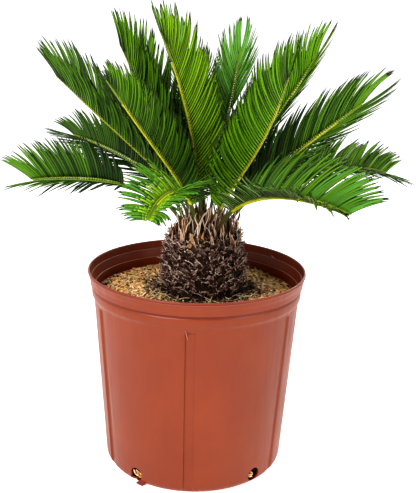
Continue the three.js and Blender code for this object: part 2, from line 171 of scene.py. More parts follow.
for lamp_name, (place, size, power) in LAMPS.items():
    lamp = bpy.data.objects.new(lamp_name, bpy.data.lights.new(lamp_name, "AREA"))
    lamp.data.size = size / 1000
    lamp.data.energy = power
    place = np.array(place, float)
    lamp.matrix_world = turned_to(unit(AIM - place), UP, place)
    bpy.context.collection.objects.link(lamp)

world = bpy.data.worlds.new("white surroundings")
world.use_nodes = True
tree = world.node_tree
background = tree.nodes["Background"]
background.inputs["Color"].default_value = (1, 1, 1, 1)
coords = add(tree, "ShaderNodeTexCoord")
direction = add(tree, "ShaderNodeSeparateXYZ", None, {"Vector": coords.outputs["Generated"]})
glow = add(tree, "ShaderNodeMapRange",
           {"From Max": OVERHEAD_FROM, "To Min": HORIZON, "To Max": OVERHEAD},
           {"Value": direction.outputs["Z"]}, interpolation_type="SMOOTHSTEP")
tree.links.new(glow.outputs["Result"], background.inputs["Strength"])
bpy.context.scene.world = world
bpy.context.scene.view_settings.view_transform = "Standard"
bpy.context.scene.view_settings.look = "High Contrast"

# Matt white painted floor: no gloss, so the plant is not mirrored in it.
floor_white, _, _ = finish("matt white floor paint", 0xF4F4F4, 0.8, Specular_IOR_Level=0.1,
                           Emission_Color=(1, 1, 1, 1), Emission_Strength=FLOOR_GLOW)
corner = np.array([[-1, -1], [1, -1], [1, 1], [-1, 1]]) * FLOOR_HALF
floor_points = np.column_stack([corner, np.full(4, -FLOOR_DROP)])
floor = solid("studio_floor", floor_points, np.array([[0, 1, 2], [0, 2, 3]]), floor_white)


# ---- Pot ----
# A round 10 inch nursery container, injection moulded in one piece from terracotta-coloured
# polypropylene about 2 mm thick: a tapered wall with six shallow flutes, a collar and a
# flared band under a thin rolled lip, and four drain holes cut through the bottom corner.

pot_low, pot_high = (1000 * np.array(side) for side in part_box("pot"))
RIM_RADIUS = (pot_high[0] - pot_low[0]) / 2
POT_HEIGHT = pot_high[2]
WALL = 2.2
CORNER_RADIUS = 9
WALL_FOOT = np.array([109.6, 9])
WALL_TOP = np.array([123.2, 206])
COLLAR_RADIUS = 125.8
GROOVE_RADIUS = 124.9
GROOVE_Z = 223.6
BAND_FOOT = np.array([127.6, 225.6])
BAND_STEP_Z = 233
LIP_RADIUS = 1.2
# Radius and height of the painted highlight rings on the ledges inside.
LEDGE_HIGHLIGHTS = ((126.1, 232.4), (122.3, 221.8), (121.2, 210.1))
FLUTES = 6
FLUTE_TURN = -92
FLUTE_HALF_WIDTH = 6
FLUTE_EDGE = 1.8
FLUTE_SLOPE = 3.5
FLUTE_SKEW = 1.5
FLUTE_DEPTH = 2
FLUTE_TOP_Z = 206
FLUTE_TOP_EASE = 3
FLUTE_FOOT_EASE = 6
WALL_FROM_RADIUS = 100
WALL_MIDDLE_RADIUS = 117
# Radius of the painted shade marks at the top of the front flute.
FLUTE_SHADE_RADIUS = 123.1
DRAIN_RADIUS = 8.4
DRAIN_Z = 12
DRAIN_TURNS = np.radians([-126, -48, 54, 132])
CUTTER_REACH = 16
TEAR_RADIUS = 4.2
TEAR_TURN = np.radians(-129)
TEAR_TOP_Z = 8
HOOP_STEPS = 240
MARK_HALF_HEIGHT = 0.5
POD_STATIONS = np.array([0, 0.3, 0.7, 1])
DIAMOND = np.array([[1, 0], [0, 1], [-1, 0], [0, -0.6]])


def smooth_step(share):
    """Eases from 0 to 1: 3 s^2 - 2 s^3, with s held between 0 and 1."""
    s = np.clip(share, 0, 1)
    return s * s * (3 - 2 * s)


def outward(turn):
    """Level unit vectors at these turns in radians: (cos, sin, 0)."""
    return np.stack([np.cos(turn), np.sin(turn), 0 * turn], axis=-1)


def arc(centre, radius, start, end, count):
    """Points on a circle from one angle to another, in degrees: centre + radius (cos, sin)."""
    angle = np.radians(np.linspace(start, end, count))
    return centre + radius * np.column_stack([np.cos(angle), np.sin(angle)])


def filled(points, spacing):
    """The same open outline with points added on its straight stretches, at most spacing apart."""
    runs = [points[:1]]
    for a, b in zip(points[:-1], points[1:]):
        count = int(np.ceil(np.linalg.norm(b - a) / spacing))
        share = np.linspace(0, 1, count + 1)[1:, None]
        runs.append(a + (b - a) * share)
    return np.concatenate(runs)


def tubes(rings):
    """Closed tubes, from rings of points in an array items x stations x corners x 3.

    Neighbouring rings are joined by two triangles a corner, and a fan closes each end. Corners
    run anticlockwise as seen from ahead, so that the faces point outwards.
    """
    items, stations, corners = rings.shape[:3]
    ring = np.arange(corners)
    a = (np.arange(stations - 1) * corners)[:, None] + ring
    b = (np.arange(stations - 1) * corners)[:, None] + (ring + 1) % corners
    wall = np.stack([a, b, b + corners, a, b + corners, a + corners], axis=-1).reshape(-1, 3)
    fan = np.stack([np.zeros(corners - 2, int), ring[2:], ring[1:-1]], axis=-1)
    one = np.concatenate([wall, fan, fan[:, ::-1] + (stations - 1) * corners])
    faces = one + (np.arange(items) * stations * corners)[:, None, None]
    return rings.reshape(-1, 3), faces.reshape(-1, 3)


def turned_about_axis(profile, angles, change=None):
    """Closed round body: radius and z of the profile, carried round the vertical axis.

    change(radius, angle, z) may move the radius from place to place.
    """
    radius = np.repeat(profile[:, :1], len(angles), axis=1)
    z = np.repeat(profile[:, 1:], len(angles), axis=1)
    angle = np.repeat(angles[None], len(profile), axis=0)
    if change:
        radius = change(radius, angle, z)
    rings = np.stack([radius * np.cos(angle), radius * np.sin(angle), z], axis=-1)
    return tubes(rings[None])


def fluted(radius, angle, z):
    """Presses the flutes in by their depth x an ease at each edge x an ease at each end.

    Seen from above, a flute's clockwise edge is steep and its other edge a gentle slope.
    """
    pitch = 2 * np.pi / FLUTES
    turn = (angle - np.radians(FLUTE_TURN)) / pitch
    across = (turn - np.round(turn)) * pitch * radius
    pressed = smooth_step((FLUTE_HALF_WIDTH + across) / FLUTE_EDGE)
    pressed *= smooth_step((FLUTE_HALF_WIDTH + FLUTE_SKEW - across) / FLUTE_SLOPE)
    pressed *= smooth_step((FLUTE_TOP_Z - z) / FLUTE_TOP_EASE) * smooth_step((z - 1) / FLUTE_FOOT_EASE)
    return np.where(radius > WALL_FROM_RADIUS, radius - FLUTE_DEPTH * pressed, radius)


def hoop(radius, z, half_width, half_height):
    """Closed thin ring round the vertical axis, with six corners at each place."""
    turn = np.radians(np.linspace(0, 360, HOOP_STEPS + 1))[:, None]
    corner = np.radians(np.arange(0, -360, -60))
    reach = radius + half_width * np.cos(corner)
    height = z + half_height * np.sin(corner) + 0 * turn
    return tubes(np.stack([np.cos(turn) * reach, np.sin(turn) * reach, height], axis=-1)[None])


def joined(bodies):
    """Points and faces of several closed bodies as one."""
    starts = np.cumsum([0] + [len(points) for points, _ in bodies[:-1]])
    faces = [faces + start for (_, faces), start in zip(bodies, starts)]
    return np.concatenate([points for points, _ in bodies]), np.concatenate(faces)


def summed(foot, along, length, t):
    """Lines from their feet: the running sum of the mean direction of each step x its length."""
    steps = (along[:, 1:] + along[:, :-1]) / 2 * np.diff(t)[:, None] * length[:, None, None]
    return np.concatenate([foot, foot + np.cumsum(steps, axis=1)], axis=1)


def bent(foot, ahead, face, length, curl, t):
    """Centre lines of many curved blades, and their directions and faces, items x stations x 3.

    A blade starts at its foot towards ahead and turns towards face by curl radians over its
    length: direction(t) = ahead cos(curl t) + face sin(curl t). Its line is their running sum.
    """
    ahead = unit(ahead)
    face = unit(face - ahead * (face * ahead).sum(axis=-1, keepdims=True))
    angle = np.asarray(curl)[:, None, None] * t[:, None]
    along = ahead[:, None] * np.cos(angle) + face[:, None] * np.sin(angle)
    faced = face[:, None] * np.cos(angle) - ahead[:, None] * np.sin(angle)
    centre = summed(foot[:, None], along, np.asarray(length), t)
    return centre, along, faced


def blades(centre, along, face, half_width, half_height, section):
    """Rings round centre lines: corner (x, y) of the section is x half widths across and
    y half heights towards the face."""
    across = np.cross(face, along)
    x = section[:, 0, None] * half_width[..., None, None]
    y = section[:, 1, None] * half_height[..., None, None]
    return centre[..., None, :] + across[..., None, :] * x + face[..., None, :] * y


def lens(t):
    """Outline of a pointed oval: sin(pi t) to the power 0.7, with blunt ends."""
    return 0.12 + 0.88 * np.sin(np.pi * np.clip(t, 0.001, 0.999)) ** 0.7


def marks(foot, ahead, face, length, curl, half_width):
    """Small marks on the plastic: pointed ovals that lie face up and bend by their curl."""
    lines = bent(foot, np.array(ahead), np.array(face, float), length, curl, POD_STATIONS)
    outline = np.array(half_width)[:, None] * lens(POD_STATIONS)
    return tubes(blades(*lines, outline, np.full(outline.shape, MARK_HALF_HEIGHT), DIAMOND))


def toned(tree, shader, amount, low, high, first, second):
    """Base colour that runs evenly from first to second as amount rises from low to high."""
    share = add(tree, "ShaderNodeMapRange", {"From Min": low, "From Max": high}, {"Value": amount})
    tint = add(tree, "ShaderNodeMix", {6: linear(first), 7: linear(second)},
               {0: share.outputs["Result"]}, data_type="RGBA")
    tree.links.new(tint.outputs[2], shader.inputs["Base Color"])


flute_centres = np.radians(FLUTE_TURN + np.arange(FLUTES) * 360 / FLUTES)
flute_edge = np.linspace(FLUTE_HALF_WIDTH - FLUTE_EDGE, FLUTE_HALF_WIDTH + FLUTE_EDGE / 3, 9)
near_edges = np.concatenate([-flute_edge, flute_edge]) / WALL_MIDDLE_RADIUS
even_angles = np.radians(np.arange(0, 360, 1.2))
pot_angles = np.concatenate([even_angles, (flute_centres[:, None] + near_edges).ravel()])
pot_angles = np.unique(np.round(np.mod(pot_angles, 2 * np.pi), 5))

lip_centre = np.array([RIM_RADIUS - LIP_RADIUS, POT_HEIGHT - LIP_RADIUS])
inner_foot = WALL_FOOT - [WALL, 0]
inner_top = WALL_TOP - [WALL, 0]
outside = np.concatenate([
    # The underside and the round bottom corner.
    filled(np.array([[0.5, 0], [WALL_FOOT[0] - CORNER_RADIUS - 0.5, 0]]), 25),
    arc(WALL_FOOT - [CORNER_RADIUS, 0], CORNER_RADIUS, -90, 0, 9),
    # The wall, in finer steps where the flutes end.
    filled(np.array([WALL_FOOT, WALL_TOP - [0.7, 10], WALL_TOP]), 6)[1:-4],
    filled(np.array([WALL_TOP - [0.6, 9], WALL_TOP + [0.1, 1]]), 1),
    # The collar, which swells out of the wall in an S and has a round upper edge.
    np.column_stack([
        WALL_TOP[0] + 0.2 + (COLLAR_RADIUS - WALL_TOP[0] - 0.2) * smooth_step(np.linspace(0.1, 1, 7)),
        np.linspace(WALL_TOP[1] + 2, 214, 7),
    ]),
    [[COLLAR_RADIUS + 0.2, 217], [COLLAR_RADIUS + 0.2, 220.6]],
    [[COLLAR_RADIUS, 221.4], [COLLAR_RADIUS - 0.5, 221.9]],
    # The groove over it.
    [[GROOVE_RADIUS + 0.3, 222.3], [GROOVE_RADIUS, GROOVE_Z], [GROOVE_RADIUS + 0.1, 224.7]],
    [[GROOVE_RADIUS + 0.8, 225], BAND_FOOT - [0.8, 0.5], BAND_FOOT - [0.2, 0.3]],
    # The flared band, with a small step out below its middle.
    [BAND_FOOT + [0, 0.2], BAND_FOOT + [0.1, 1]],
    filled(np.array([BAND_FOOT + [0.2, 2], [BAND_FOOT[0] + 0.6, BAND_STEP_Z - 0.8]]), 3),
    filled(np.array([[BAND_FOOT[0] + 1.1, BAND_STEP_Z], [RIM_RADIUS - 0.7, 238.4]]), 2),
    # The rolled lip.
    [[RIM_RADIUS - 0.4, 239.2], [RIM_RADIUS - 0.1, 239.8]],
    arc(lip_centre, LIP_RADIUS, -8, 172, 11),
])
inside = np.concatenate([
    # Down inside the lip, over the ledges behind the band and the collar.
    [[RIM_RADIUS - 2.5, 239.6], [RIM_RADIUS - 3.1, 234.6], [RIM_RADIUS - 3.3, 232.9]],
    [[RIM_RADIUS - 4.4, 232.4], [RIM_RADIUS - 4.6, 231.6], [BAND_FOOT[0] - 4, 223.4]],
    [[BAND_FOOT[0] - 4.2, 222.3], [BAND_FOOT[0] - 5.3, 221.8], [BAND_FOOT[0] - 5.5, 220.8]],
    [[COLLAR_RADIUS - WALL - 1.6, 215], [inner_top[0] + 0.9, 210.6], [inner_top[0], 210], inner_top],
    # The wall, the corner and the floor.
    filled(np.array([inner_top - [0.15, 1], inner_top - [0.6, 9]]), 2),
    filled(np.array([inner_top - [0.7, 10], inner_foot]), 16)[1:],
    arc(WALL_FOOT - [CORNER_RADIUS, 0], CORNER_RADIUS - WALL, -8, -82, 6),
    filled(np.array([[WALL_FOOT[0] - CORNER_RADIUS, WALL], [0.5, WALL]]), 25),
])
points, faces = turned_about_axis(np.concatenate([outside, inside]), pot_angles, fluted)

# Moulded polypropylene: a warm brick red with a faint chalky bloom where it has been handled,
# and a satin gloss broken by the fine grain of the mould.
pot_plastic, tree, shader = finish("moulded polypropylene, terracotta", 0x80341C, 0.42, IOR=1.49)
coords = add(tree, "ShaderNodeTexCoord")
cloud = add(tree, "ShaderNodeTexNoise", {"Scale": 14, "Detail": 4, "Roughness": 0.6},
            {"Vector": coords.outputs["Object"]})
toned(tree, shader, cloud.outputs["Fac"], 0.42, 0.72, 0x7C310A, 0x84370E)
upright = add(tree, "ShaderNodeMapping", {"Scale": (160, 160, 9)},
              {"Vector": coords.outputs["Object"]})
streak = add(tree, "ShaderNodeTexNoise", {"Scale": 1, "Detail": 2},
             {"Vector": upright.outputs["Vector"]})
dull = add(tree, "ShaderNodeMapRange",
           {"From Min": 0.3, "From Max": 0.75, "To Min": 0.34, "To Max": 0.5},
           {"Value": streak.outputs["Fac"]})
mould_grain = add(tree, "ShaderNodeTexNoise", {"Scale": 900, "Detail": 2},
                  {"Vector": coords.outputs["Object"]})
relief = add(tree, "ShaderNodeBump", {"Strength": 0.08, "Distance": 0.0003},
             {"Height": mould_grain.outputs["Fac"]})
tree.links.new(dull.outputs["Result"], shader.inputs["Roughness"])
tree.links.new(relief.outputs["Normal"], shader.inputs["Normal"])

pot = solid("pot_moulding", points, faces, pot_plastic, "pot_plastic")
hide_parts("pot")

# The tear is cut before the hole that it runs into: the other way round, the pot comes out empty.
cutter_turn = np.radians(np.arange(0, 360, 10))
tear_ring = outward(TEAR_TURN) * (WALL_FOOT[0] - WALL) + outward(cutter_turn) * TEAR_RADIUS
cutters = [[tear_ring + UP * z for z in (-2, TEAR_TOP_Z)]]
for out in outward(DRAIN_TURNS):
    across = np.cross(UP, out)
    ring = across * np.cos(cutter_turn)[:, None] + UP * np.sin(cutter_turn)[:, None]
    ring = ring * DRAIN_RADIUS + UP * DRAIN_Z + out * WALL_FOOT[0]
    cutters.append([ring + out * reach for reach in (-CUTTER_REACH, CUTTER_REACH)])
for number, rings in enumerate(cutters):
    cutter = solid(f"drain_cutter_{number}", *tubes(np.array(rings)[None]), pot_plastic, smooth=False)
    hole = pot.modifiers.new(f"drain_{number}", "BOOLEAN")
    hole.object = cutter
    hole.solver = "EXACT"
holed = bpy.data.meshes.new_from_object(pot.evaluated_get(bpy.context.evaluated_depsgraph_get()))
pot.modifiers.clear()
pot.data = holed
for cutter in [made for made in bpy.data.objects if made.name.startswith("drain_cutter")]:
    bpy.data.objects.remove(cutter)
pot.data.set_sharp_from_angle(angle=np.radians(40))

# The tear at the left front hole: its flap of wall hangs on below, curled, in a darker red. The same
# darker red serves as painted shade in the grooves under the lip and the band.
torn, _, _ = finish("darker red polypropylene, also painted groove shade", 0x6E1E0C, 0.5)
flap_front = np.array([[-58.5, -91.6, 8], [-65.3, -90.3, 1.2], [-57.5, -95.5, 0.6],
                       [-52.9, -94.5, 2.4]])
flap_back = flap_front + [[0.6, 1.6, 0], [1, 1.6, 0.3], [0.2, 1.6, 0.2], [-0.4, 1.4, 0.3]]
solid("torn_flap", *tubes(np.stack([flap_back, flap_front])[None]), torn, "pot_plastic", smooth=False)

# Painted shade: dark rings in the grooves under the lip and under the band, and two dark marks at the top
# of the front flute's left edge, which is turned away from the light.
lip_groove_shade = hoop(RIM_RADIUS - 0.65, 239.9, 0.85, 1)
band_groove_shade = hoop(GROOVE_RADIUS + 0.8, GROOVE_Z + 0.6, 0.9, 1.2)
flute_shade_foot = outward(np.radians([-92.6, -93.6])) * FLUTE_SHADE_RADIUS + [[0, 0, 213], [0, 0, 208]]
flute_top_shade = marks(flute_shade_foot, [[0.1, 0.05, -1], [-0.08, 0.05, -1]], [[0, -1, 0], [0, -1, 0]],
                [9, 8], [0, 0], [1.5, 0.9])
solid("dark_grooves", *joined([lip_groove_shade, band_groove_shade, flute_top_shade]), torn, "pot_plastic")

# Painted highlights: pale rings on the top of the lip, just under it and on the ledges inside, where they
# catch the light, and two small pale streaks, one at the top of the front flute's left edge and one on the
# band at the back right.
painted_highlight, _, _ = finish("painted highlight on polypropylene edges", 0xBC7E6E, 0.4)
edges = [hoop(radius, z, 0.45, 0.35) for radius, z in LEDGE_HIGHLIGHTS]
edges.append(hoop(RIM_RADIUS - 1.2, POT_HEIGHT - 0.55, 0.9, 0.6))
edges.append(hoop(RIM_RADIUS - 1, 238.6, 0.4, 0.4))
highlight_mark_foot = np.array([[-9.6, -123.2, 209], [94.6, 80.6, 235.6]])
edges.append(marks(highlight_mark_foot, [[0.25, 0, -1], [0.6, -0.8, -0.25]], [[0, -1, 0], [-0.7, -0.6, 0]],
                   [12, 10], [0.2, 0.1], [0.5, 1.1]))
solid("rubbed_edges", *joined(edges), painted_highlight, "pot_plastic")


# ---- Potting mix ----
# Dark peat and bark, filled to about 30 mm below the rim and slightly raised round the plant.
# It fills the pot down to the floor, and is washed out a little behind the drain holes.

MIX_TOP_Z = 1000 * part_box("soil")[1][2]
MIX_EDGE_RADIUS = inner_top[0] - 1.2
MIX_FALL = ([66, 98, MIX_EDGE_RADIUS], [0, 2.5, 5])
MIX_SINK = 1.2
LUMP = 1.3
WASHED_DEPTH = 7
WASHED_RIM = 3
CAUDEX_AXIS = np.array([8, 0, 0])


def waves(x, y, length, seed):
    """Even lumps of about this length: the mean of 24 plane waves in seeded directions, x 2."""
    rng = np.random.default_rng(seed)
    turn = rng.uniform(0, 2 * np.pi, 24)
    phase = rng.uniform(0, 2 * np.pi, 24)
    scale = 2 * np.pi / (length * rng.uniform(0.6, 1.6, 24))
    place = x[..., None] * np.cos(turn) + y[..., None] * np.sin(turn)
    return 2 * np.sin(place * scale + phase).mean(axis=-1)


def mix_height(x, y):
    """Height of the mix: flat out to 66 mm, then 5 mm down to its edge, + lumps of 14 and 5 mm."""
    fall = np.interp(np.hypot(x, y), *MIX_FALL)
    return MIX_TOP_Z - fall - MIX_SINK + LUMP * (waves(x, y, 14, 3) + 0.6 * waves(x, y, 5, 4))


def washed_out(radius, angle, z):
    """Hollows behind the drain holes: their depth x ease(way in from their edge / their rim)."""
    for turn in DRAIN_TURNS:
        off = (angle - turn + np.pi) % (2 * np.pi) - np.pi
        from_hole = np.hypot(off * radius, z - DRAIN_Z)
        hollow = WASHED_DEPTH * smooth_step((DRAIN_RADIUS + WASHED_RIM - from_hole) / WASHED_RIM)
        radius = np.where(radius > WALL_FROM_RADIUS - WASHED_DEPTH, radius - hollow, radius)
    return radius


mix_profile = np.concatenate([
    [[0.5, 3], [101, 3]],
    filled(np.array([[104, 5], [106.2, 8.5], [106.9, 24]]), 1.5),
    filled(np.array([[107.2, 26], [MIX_EDGE_RADIUS - 0.5, 200]]), 40),
    [[MIX_EDGE_RADIUS, 207]],
    filled(np.array([[MIX_EDGE_RADIUS, 210], [1, 210]]), 1.8),
])
mix_angles = np.radians(np.arange(0, 360, 1.5))
points, faces = turned_about_axis(mix_profile, mix_angles, washed_out)
is_top = points[:, 2] > 209
points[is_top, 2] = mix_height(points[is_top, 0], points[is_top, 1])

# Damp peat: nearly black brown, rough, with paler crumbs of bark.
peat, tree, shader = finish("peat and bark potting mix", 0x2E2219, 0.95, Specular_IOR_Level=0.2)
coords = add(tree, "ShaderNodeTexCoord")
crumb = add(tree, "ShaderNodeTexNoise", {"Scale": 420, "Detail": 4},
            {"Vector": coords.outputs["Object"]})
toned(tree, shader, crumb.outputs["Fac"], 0.4, 0.7, 0x1D140E, 0x55412C)
relief = add(tree, "ShaderNodeBump", {"Strength": 0.8, "Distance": 0.002},
             {"Height": crumb.outputs["Fac"]})
tree.links.new(relief.outputs["Normal"], shader.inputs["Normal"])
mix = solid("potting_mix", points, faces, peat, "potting_mix")
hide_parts("soil")


# ---- Rice hulls, straws and litter ----
# A loose top dressing of parboiled rice hulls two or three deep, some of it fallen into the
# drain holes, with a few straws, and dark leaf litter and broken scales round the caudex.

HULLS = 7200
HULL_LENGTH = 7.2
HULL_WIDTH = 2.8
HULL_HEIGHT = 1.2
HULL_REACH = 116.5
HULLS_FROM = 66
HULLS_MINGLE = 6
HULLS_IN_DRAIN = 9
HULL_FINISHES = {
    "golden": (0xF0BC70, 0.42),
    "straw": (0xFFE0B4, 0.26),
    "toasted": (0xC08850, 0.2),
    "grey": (0x845C4C, 0.12),
}
LITTER = 2600
LITTER_TO = 70
LITTER_MINGLE = 8
STRAY_LITTER = 0.12
LITTER_FINISHES = {"black": (0x2A1A14, 0.4), "brown": (0x5E4234, 0.35), "grey": (0x927868, 0.25)}
STRAWS = 420
STRAW_REACH = 108
STRAW_HALF = 0.45
CAUDEX_FOOT_RADIUS = 49


def from_caudex(place):
    """Level distance of each place from the caudex's axis."""
    return np.hypot(place[:, 0] - CAUDEX_AXIS[0], place[:, 1])


def scattered(count, inner, outer, rng):
    """Places spread evenly over a ring between the caudex and the pot, as x and y."""
    place = rng.uniform(-outer, outer, (count * 4, 2))
    kept = (np.hypot(place[:, 0], place[:, 1]) < outer) & (from_caudex(place) > inner)
    return place[kept][:count]


def loose(place, height, tilt, length, curl, rng):
    """Centre lines of loose bits, any way round, tilted by up to tilt, with their middle at place.

    Their heights over the mix, lengths and curls are drawn evenly between the two values given.
    """
    count = len(place)
    foot = np.column_stack([place, mix_height(*place.T) + rng.uniform(*height, count)])
    yaw = rng.uniform(0, 2 * np.pi, count)
    slope = rng.uniform(-tilt, tilt, count)
    ahead = np.column_stack([np.cos(yaw), np.sin(yaw), slope])
    face = np.column_stack([rng.uniform(-0.7, 0.7, (count, 2)), rng.choice([1, 1, -1], count)])
    length = rng.uniform(*length, count)
    foot -= unit(ahead) * length[:, None] / 2
    return bent(foot, ahead, face, length, rng.uniform(*curl, count), POD_STATIONS)


def dealt(kind, word, rings, deal, finishes, slot, roughness, **sockets):
    """Deals the items out between finishes by their parts of 0 to 1: one joined piece of each."""
    share = 0
    for tone, (colour, part) in finishes.items():
        material, _, _ = finish(f"{word}, {tone}", colour, roughness, **sockets)
        chosen = (deal >= share) & (deal < share + part)
        share += part
        solid(f"{kind}_{tone}", *tubes(rings[chosen]), material, slot)


rng = np.random.default_rng(11)
place = scattered(HULLS, CAUDEX_FOOT_RADIUS, HULL_REACH, rng)
place = place[from_caudex(place) + rng.normal(0, HULLS_MINGLE, len(place)) > HULLS_FROM]
lines = loose(place, (0, 2.6), 0.5, (0.8 * HULL_LENGTH, 1.15 * HULL_LENGTH), (-0.5, 0.2), rng)
half_width = HULL_WIDTH / 2 * lens(POD_STATIONS) * rng.uniform(0.75, 1.15, (len(place), 1))
rings = blades(*lines, half_width, half_width * HULL_HEIGHT / HULL_WIDTH, DIAMOND)
# Hulls washed into the drain holes lie slantwise across them.
out = np.repeat(outward(DRAIN_TURNS), HULLS_IN_DRAIN, axis=0)
count = len(out)
across = np.cross(UP, out)
slant = rng.normal(-0.5, 0.25, (count, 1))
in_hole = across * np.cos(slant) + UP * np.sin(slant)
foot = out * rng.uniform(104, 108, (count, 1)) + across * rng.uniform(-6, 3, (count, 1)) - in_hole * 2
foot[:, 2] += DRAIN_Z + rng.uniform(-4.5, 2.5, count)
length = rng.uniform(6, 8, count)
washed = bent(foot, in_hole, out, length, rng.uniform(-0.3, 0.3, count), POD_STATIONS)
half_width = HULL_WIDTH / 2 * lens(POD_STATIONS) * rng.uniform(0.8, 1.2, (count, 1))
rings = np.concatenate([rings, blades(*washed, half_width, half_width * 0.5, DIAMOND)])
deal = np.concatenate([rng.random(len(place)), rng.uniform(0, 0.7, count)])
# Rice hull: dry, ribbed and faintly waxy, so pale with a dull gleam.
dealt("rice_hulls", "dried rice hull", rings, deal, HULL_FINISHES, "potting_mix", 0.62)

place = scattered(LITTER * 2, CAUDEX_FOOT_RADIUS - 1, HULL_REACH, rng)
near = from_caudex(place) + rng.normal(0, LITTER_MINGLE, len(place)) < LITTER_TO
stray = rng.random(len(place)) < STRAY_LITTER
place = place[near | stray][:LITTER]
lines = loose(place, (0, 3.4), 0.7, (3, 9), (-0.9, 0.9), rng)
half_width = lens(POD_STATIONS) * rng.uniform(0.4, 1.6, (len(place), 1))
rings = blades(*lines, half_width, half_width * 0.5, DIAMOND)
# Leaf litter: broken scale and leaf, weathered dull.
dealt("leaf_litter", "weathered leaf litter", rings, rng.random(len(place)), LITTER_FINISHES,
      "potting_mix", 0.85)

place = scattered(STRAWS, CAUDEX_FOOT_RADIUS, STRAW_REACH, rng)
lines = loose(place, (2, 4), 0.25, (7, 17), (-0.8, 0.8), rng)
half_width = STRAW_HALF * np.ones(4) * rng.uniform(0.7, 1.4, (len(place), 1))
rings = blades(*lines, half_width, half_width * 0.7, DIAMOND)
# Straw: dry stem fibre, pale and slightly shiny.
straw, _, _ = finish("dry straw", 0xD9C598, 0.5)
solid("straws", *tubes(rings), straw, "potting_mix")


# ---- Caudex ----
# The squat trunk of the palm: a corky barrel armoured with the stubs of old leaves, set in a
# spiral, frayed into fibre and weathered nearly black. The youngest stubs and the papery
# scales between the leaf stalks are still tan and reddish brown.

CAUDEX_FOOT_Z = 1000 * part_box("trunk")[0][2]
CAUDEX_TOP_Z = 288
FOOT_RADIUS = 49.5
BELLY_RADIUS = 50.5
SHOULDER_RADIUS = 41
CUP_RADIUS = 34
BARREL_FROM_RADIUS = 30
BARREL_SINK = 3.4
LOZENGE = 1.5
FRAY = 0.6
SPIRAL_RISE = 7
GOLDEN_TURN = np.radians(137.508)
CUPPED = np.array([[1, 0.7], [0.5, 0.1], [-0.5, 0.1], [-1, 0.7], [-0.6, -0.5], [0.6, -0.5]])
STUBS = 350
STUB_LENGTH = 13
STUB_WIDTH = 11
STUB_STATIONS = np.array([0, 0.3, 0.55, 0.8, 1])
STUB_OUTLINE = np.array([0.9, 1, 0.86, 0.55, 0.14])
STUB_FINISHES = {"black": (0x3A2520, 0.26), "brown": (0x745750, 0.42), "grey": (0xA88C84, 0.32)}
RIM_FINISHES = {
    "dark": (0x2A1B17, 0.28),
    "brown": (0x7A5C50, 0.3),
    "tan": (0xB8988A, 0.26),
    "pale": (0xE8D2C2, 0.16),
}
FIBRES = 4200
FIBRE_OUTLINE = np.array([0.8, 1, 0.9, 0.6, 0.1])
PAPER_SCALES = 140
PAPER_REACH = 43
PAPER_STATIONS = np.linspace(0, 1, 8)
PAPER_OUTLINE = np.array([1, 0.98, 0.84, 0.62, 0.42, 0.27, 0.16, 0.05])
PAPER_FINISHES = {
    "tan": (0xB88A54, 0.3),
    "rust": (0x8A5030, 0.24),
    "pink": (0xB8927E, 0.16),
    "dark": (0x3E281E, 0.3),
}
PAPER_RIM_FINISHES = {"dark": (0x4A2E22, 0.3), "tan": (0xA88A70, 0.3), "pale": (0xDCC8B0, 0.4)}
WISPS = 90
WISP_OUTLINE = np.array([1, 1, 1, 0.9, 0.8, 0.7, 0.5, 0.1])
WISP_FINISHES = {"brown": (0x5C3E2C, 0.34), "tan": (0xA08468, 0.3), "pale": (0xDCC8B0, 0.36)}


def barrel_radius(share):
    """Radius of the barrel: foot + (belly - foot) sin(pi s), less s cubed x what is past the shoulder."""
    belly = FOOT_RADIUS + (BELLY_RADIUS - FOOT_RADIUS) * np.sin(np.pi * share)
    return belly - (belly - SHOULDER_RADIUS) * share ** 3


def stub_relief(radius, angle, z):
    """Sinks the barrel under its stubs, with lozenges and frayed ridges.

    A lozenge is the product of the cosines of 17 spirals and of 13 that cross them, and the
    frayed ridges are a product of two finer sines.
    """
    rise = (z - CAUDEX_FOOT_Z) / SPIRAL_RISE
    lozenge = LOZENGE * np.cos(angle * 17 + rise) * np.cos(angle * 13 - rise)
    frayed = FRAY * np.sin(angle * 61 + 3 * rise) * np.sin(z * 1.7 + 5 * angle)
    return np.where(radius > BARREL_FROM_RADIUS, radius - BARREL_SINK + lozenge + frayed, radius)


share = np.linspace(0, 1, 90)
barrel_side = np.column_stack([
    barrel_radius(share),
    CAUDEX_FOOT_Z + (CAUDEX_TOP_Z - CAUDEX_FOOT_Z) * share,
])
barrel_profile = np.concatenate([
    filled(np.array([[0.5, CAUDEX_FOOT_Z], [FOOT_RADIUS - 1, CAUDEX_FOOT_Z]]), 12),
    barrel_side,
    filled(np.array([[CUP_RADIUS + 2, CAUDEX_TOP_Z + 1], [CUP_RADIUS - 6, CAUDEX_TOP_Z - 1],
                     [0.5, CAUDEX_TOP_Z]]), 6),
])
points, faces = turned_about_axis(barrel_profile, np.radians(np.arange(0, 360, 1.5)), stub_relief)

# Corky bark: dark brown with soot-black hollows, fibrous along the trunk, with no gloss.
bark, tree, shader = finish("corky bark of old leaf stubs", 0x33261D, 0.95, Specular_IOR_Level=0.15)
coords = add(tree, "ShaderNodeTexCoord")
grain = add(tree, "ShaderNodeMapping", {"Scale": (700, 700, 160)},
            {"Vector": coords.outputs["Object"]})
fibre = add(tree, "ShaderNodeTexNoise", {"Scale": 1, "Detail": 4},
            {"Vector": grain.outputs["Vector"]})
toned(tree, shader, fibre.outputs["Fac"], 0.35, 0.7, 0x1B130E, 0x4E3C2E)
relief = add(tree, "ShaderNodeBump", {"Strength": 0.7, "Distance": 0.0015},
             {"Height": fibre.outputs["Fac"]})
tree.links.new(relief.outputs["Normal"], shader.inputs["Normal"])
barrel = solid("caudex_barrel", points + CAUDEX_AXIS, faces, bark, "caudex")
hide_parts("trunk")


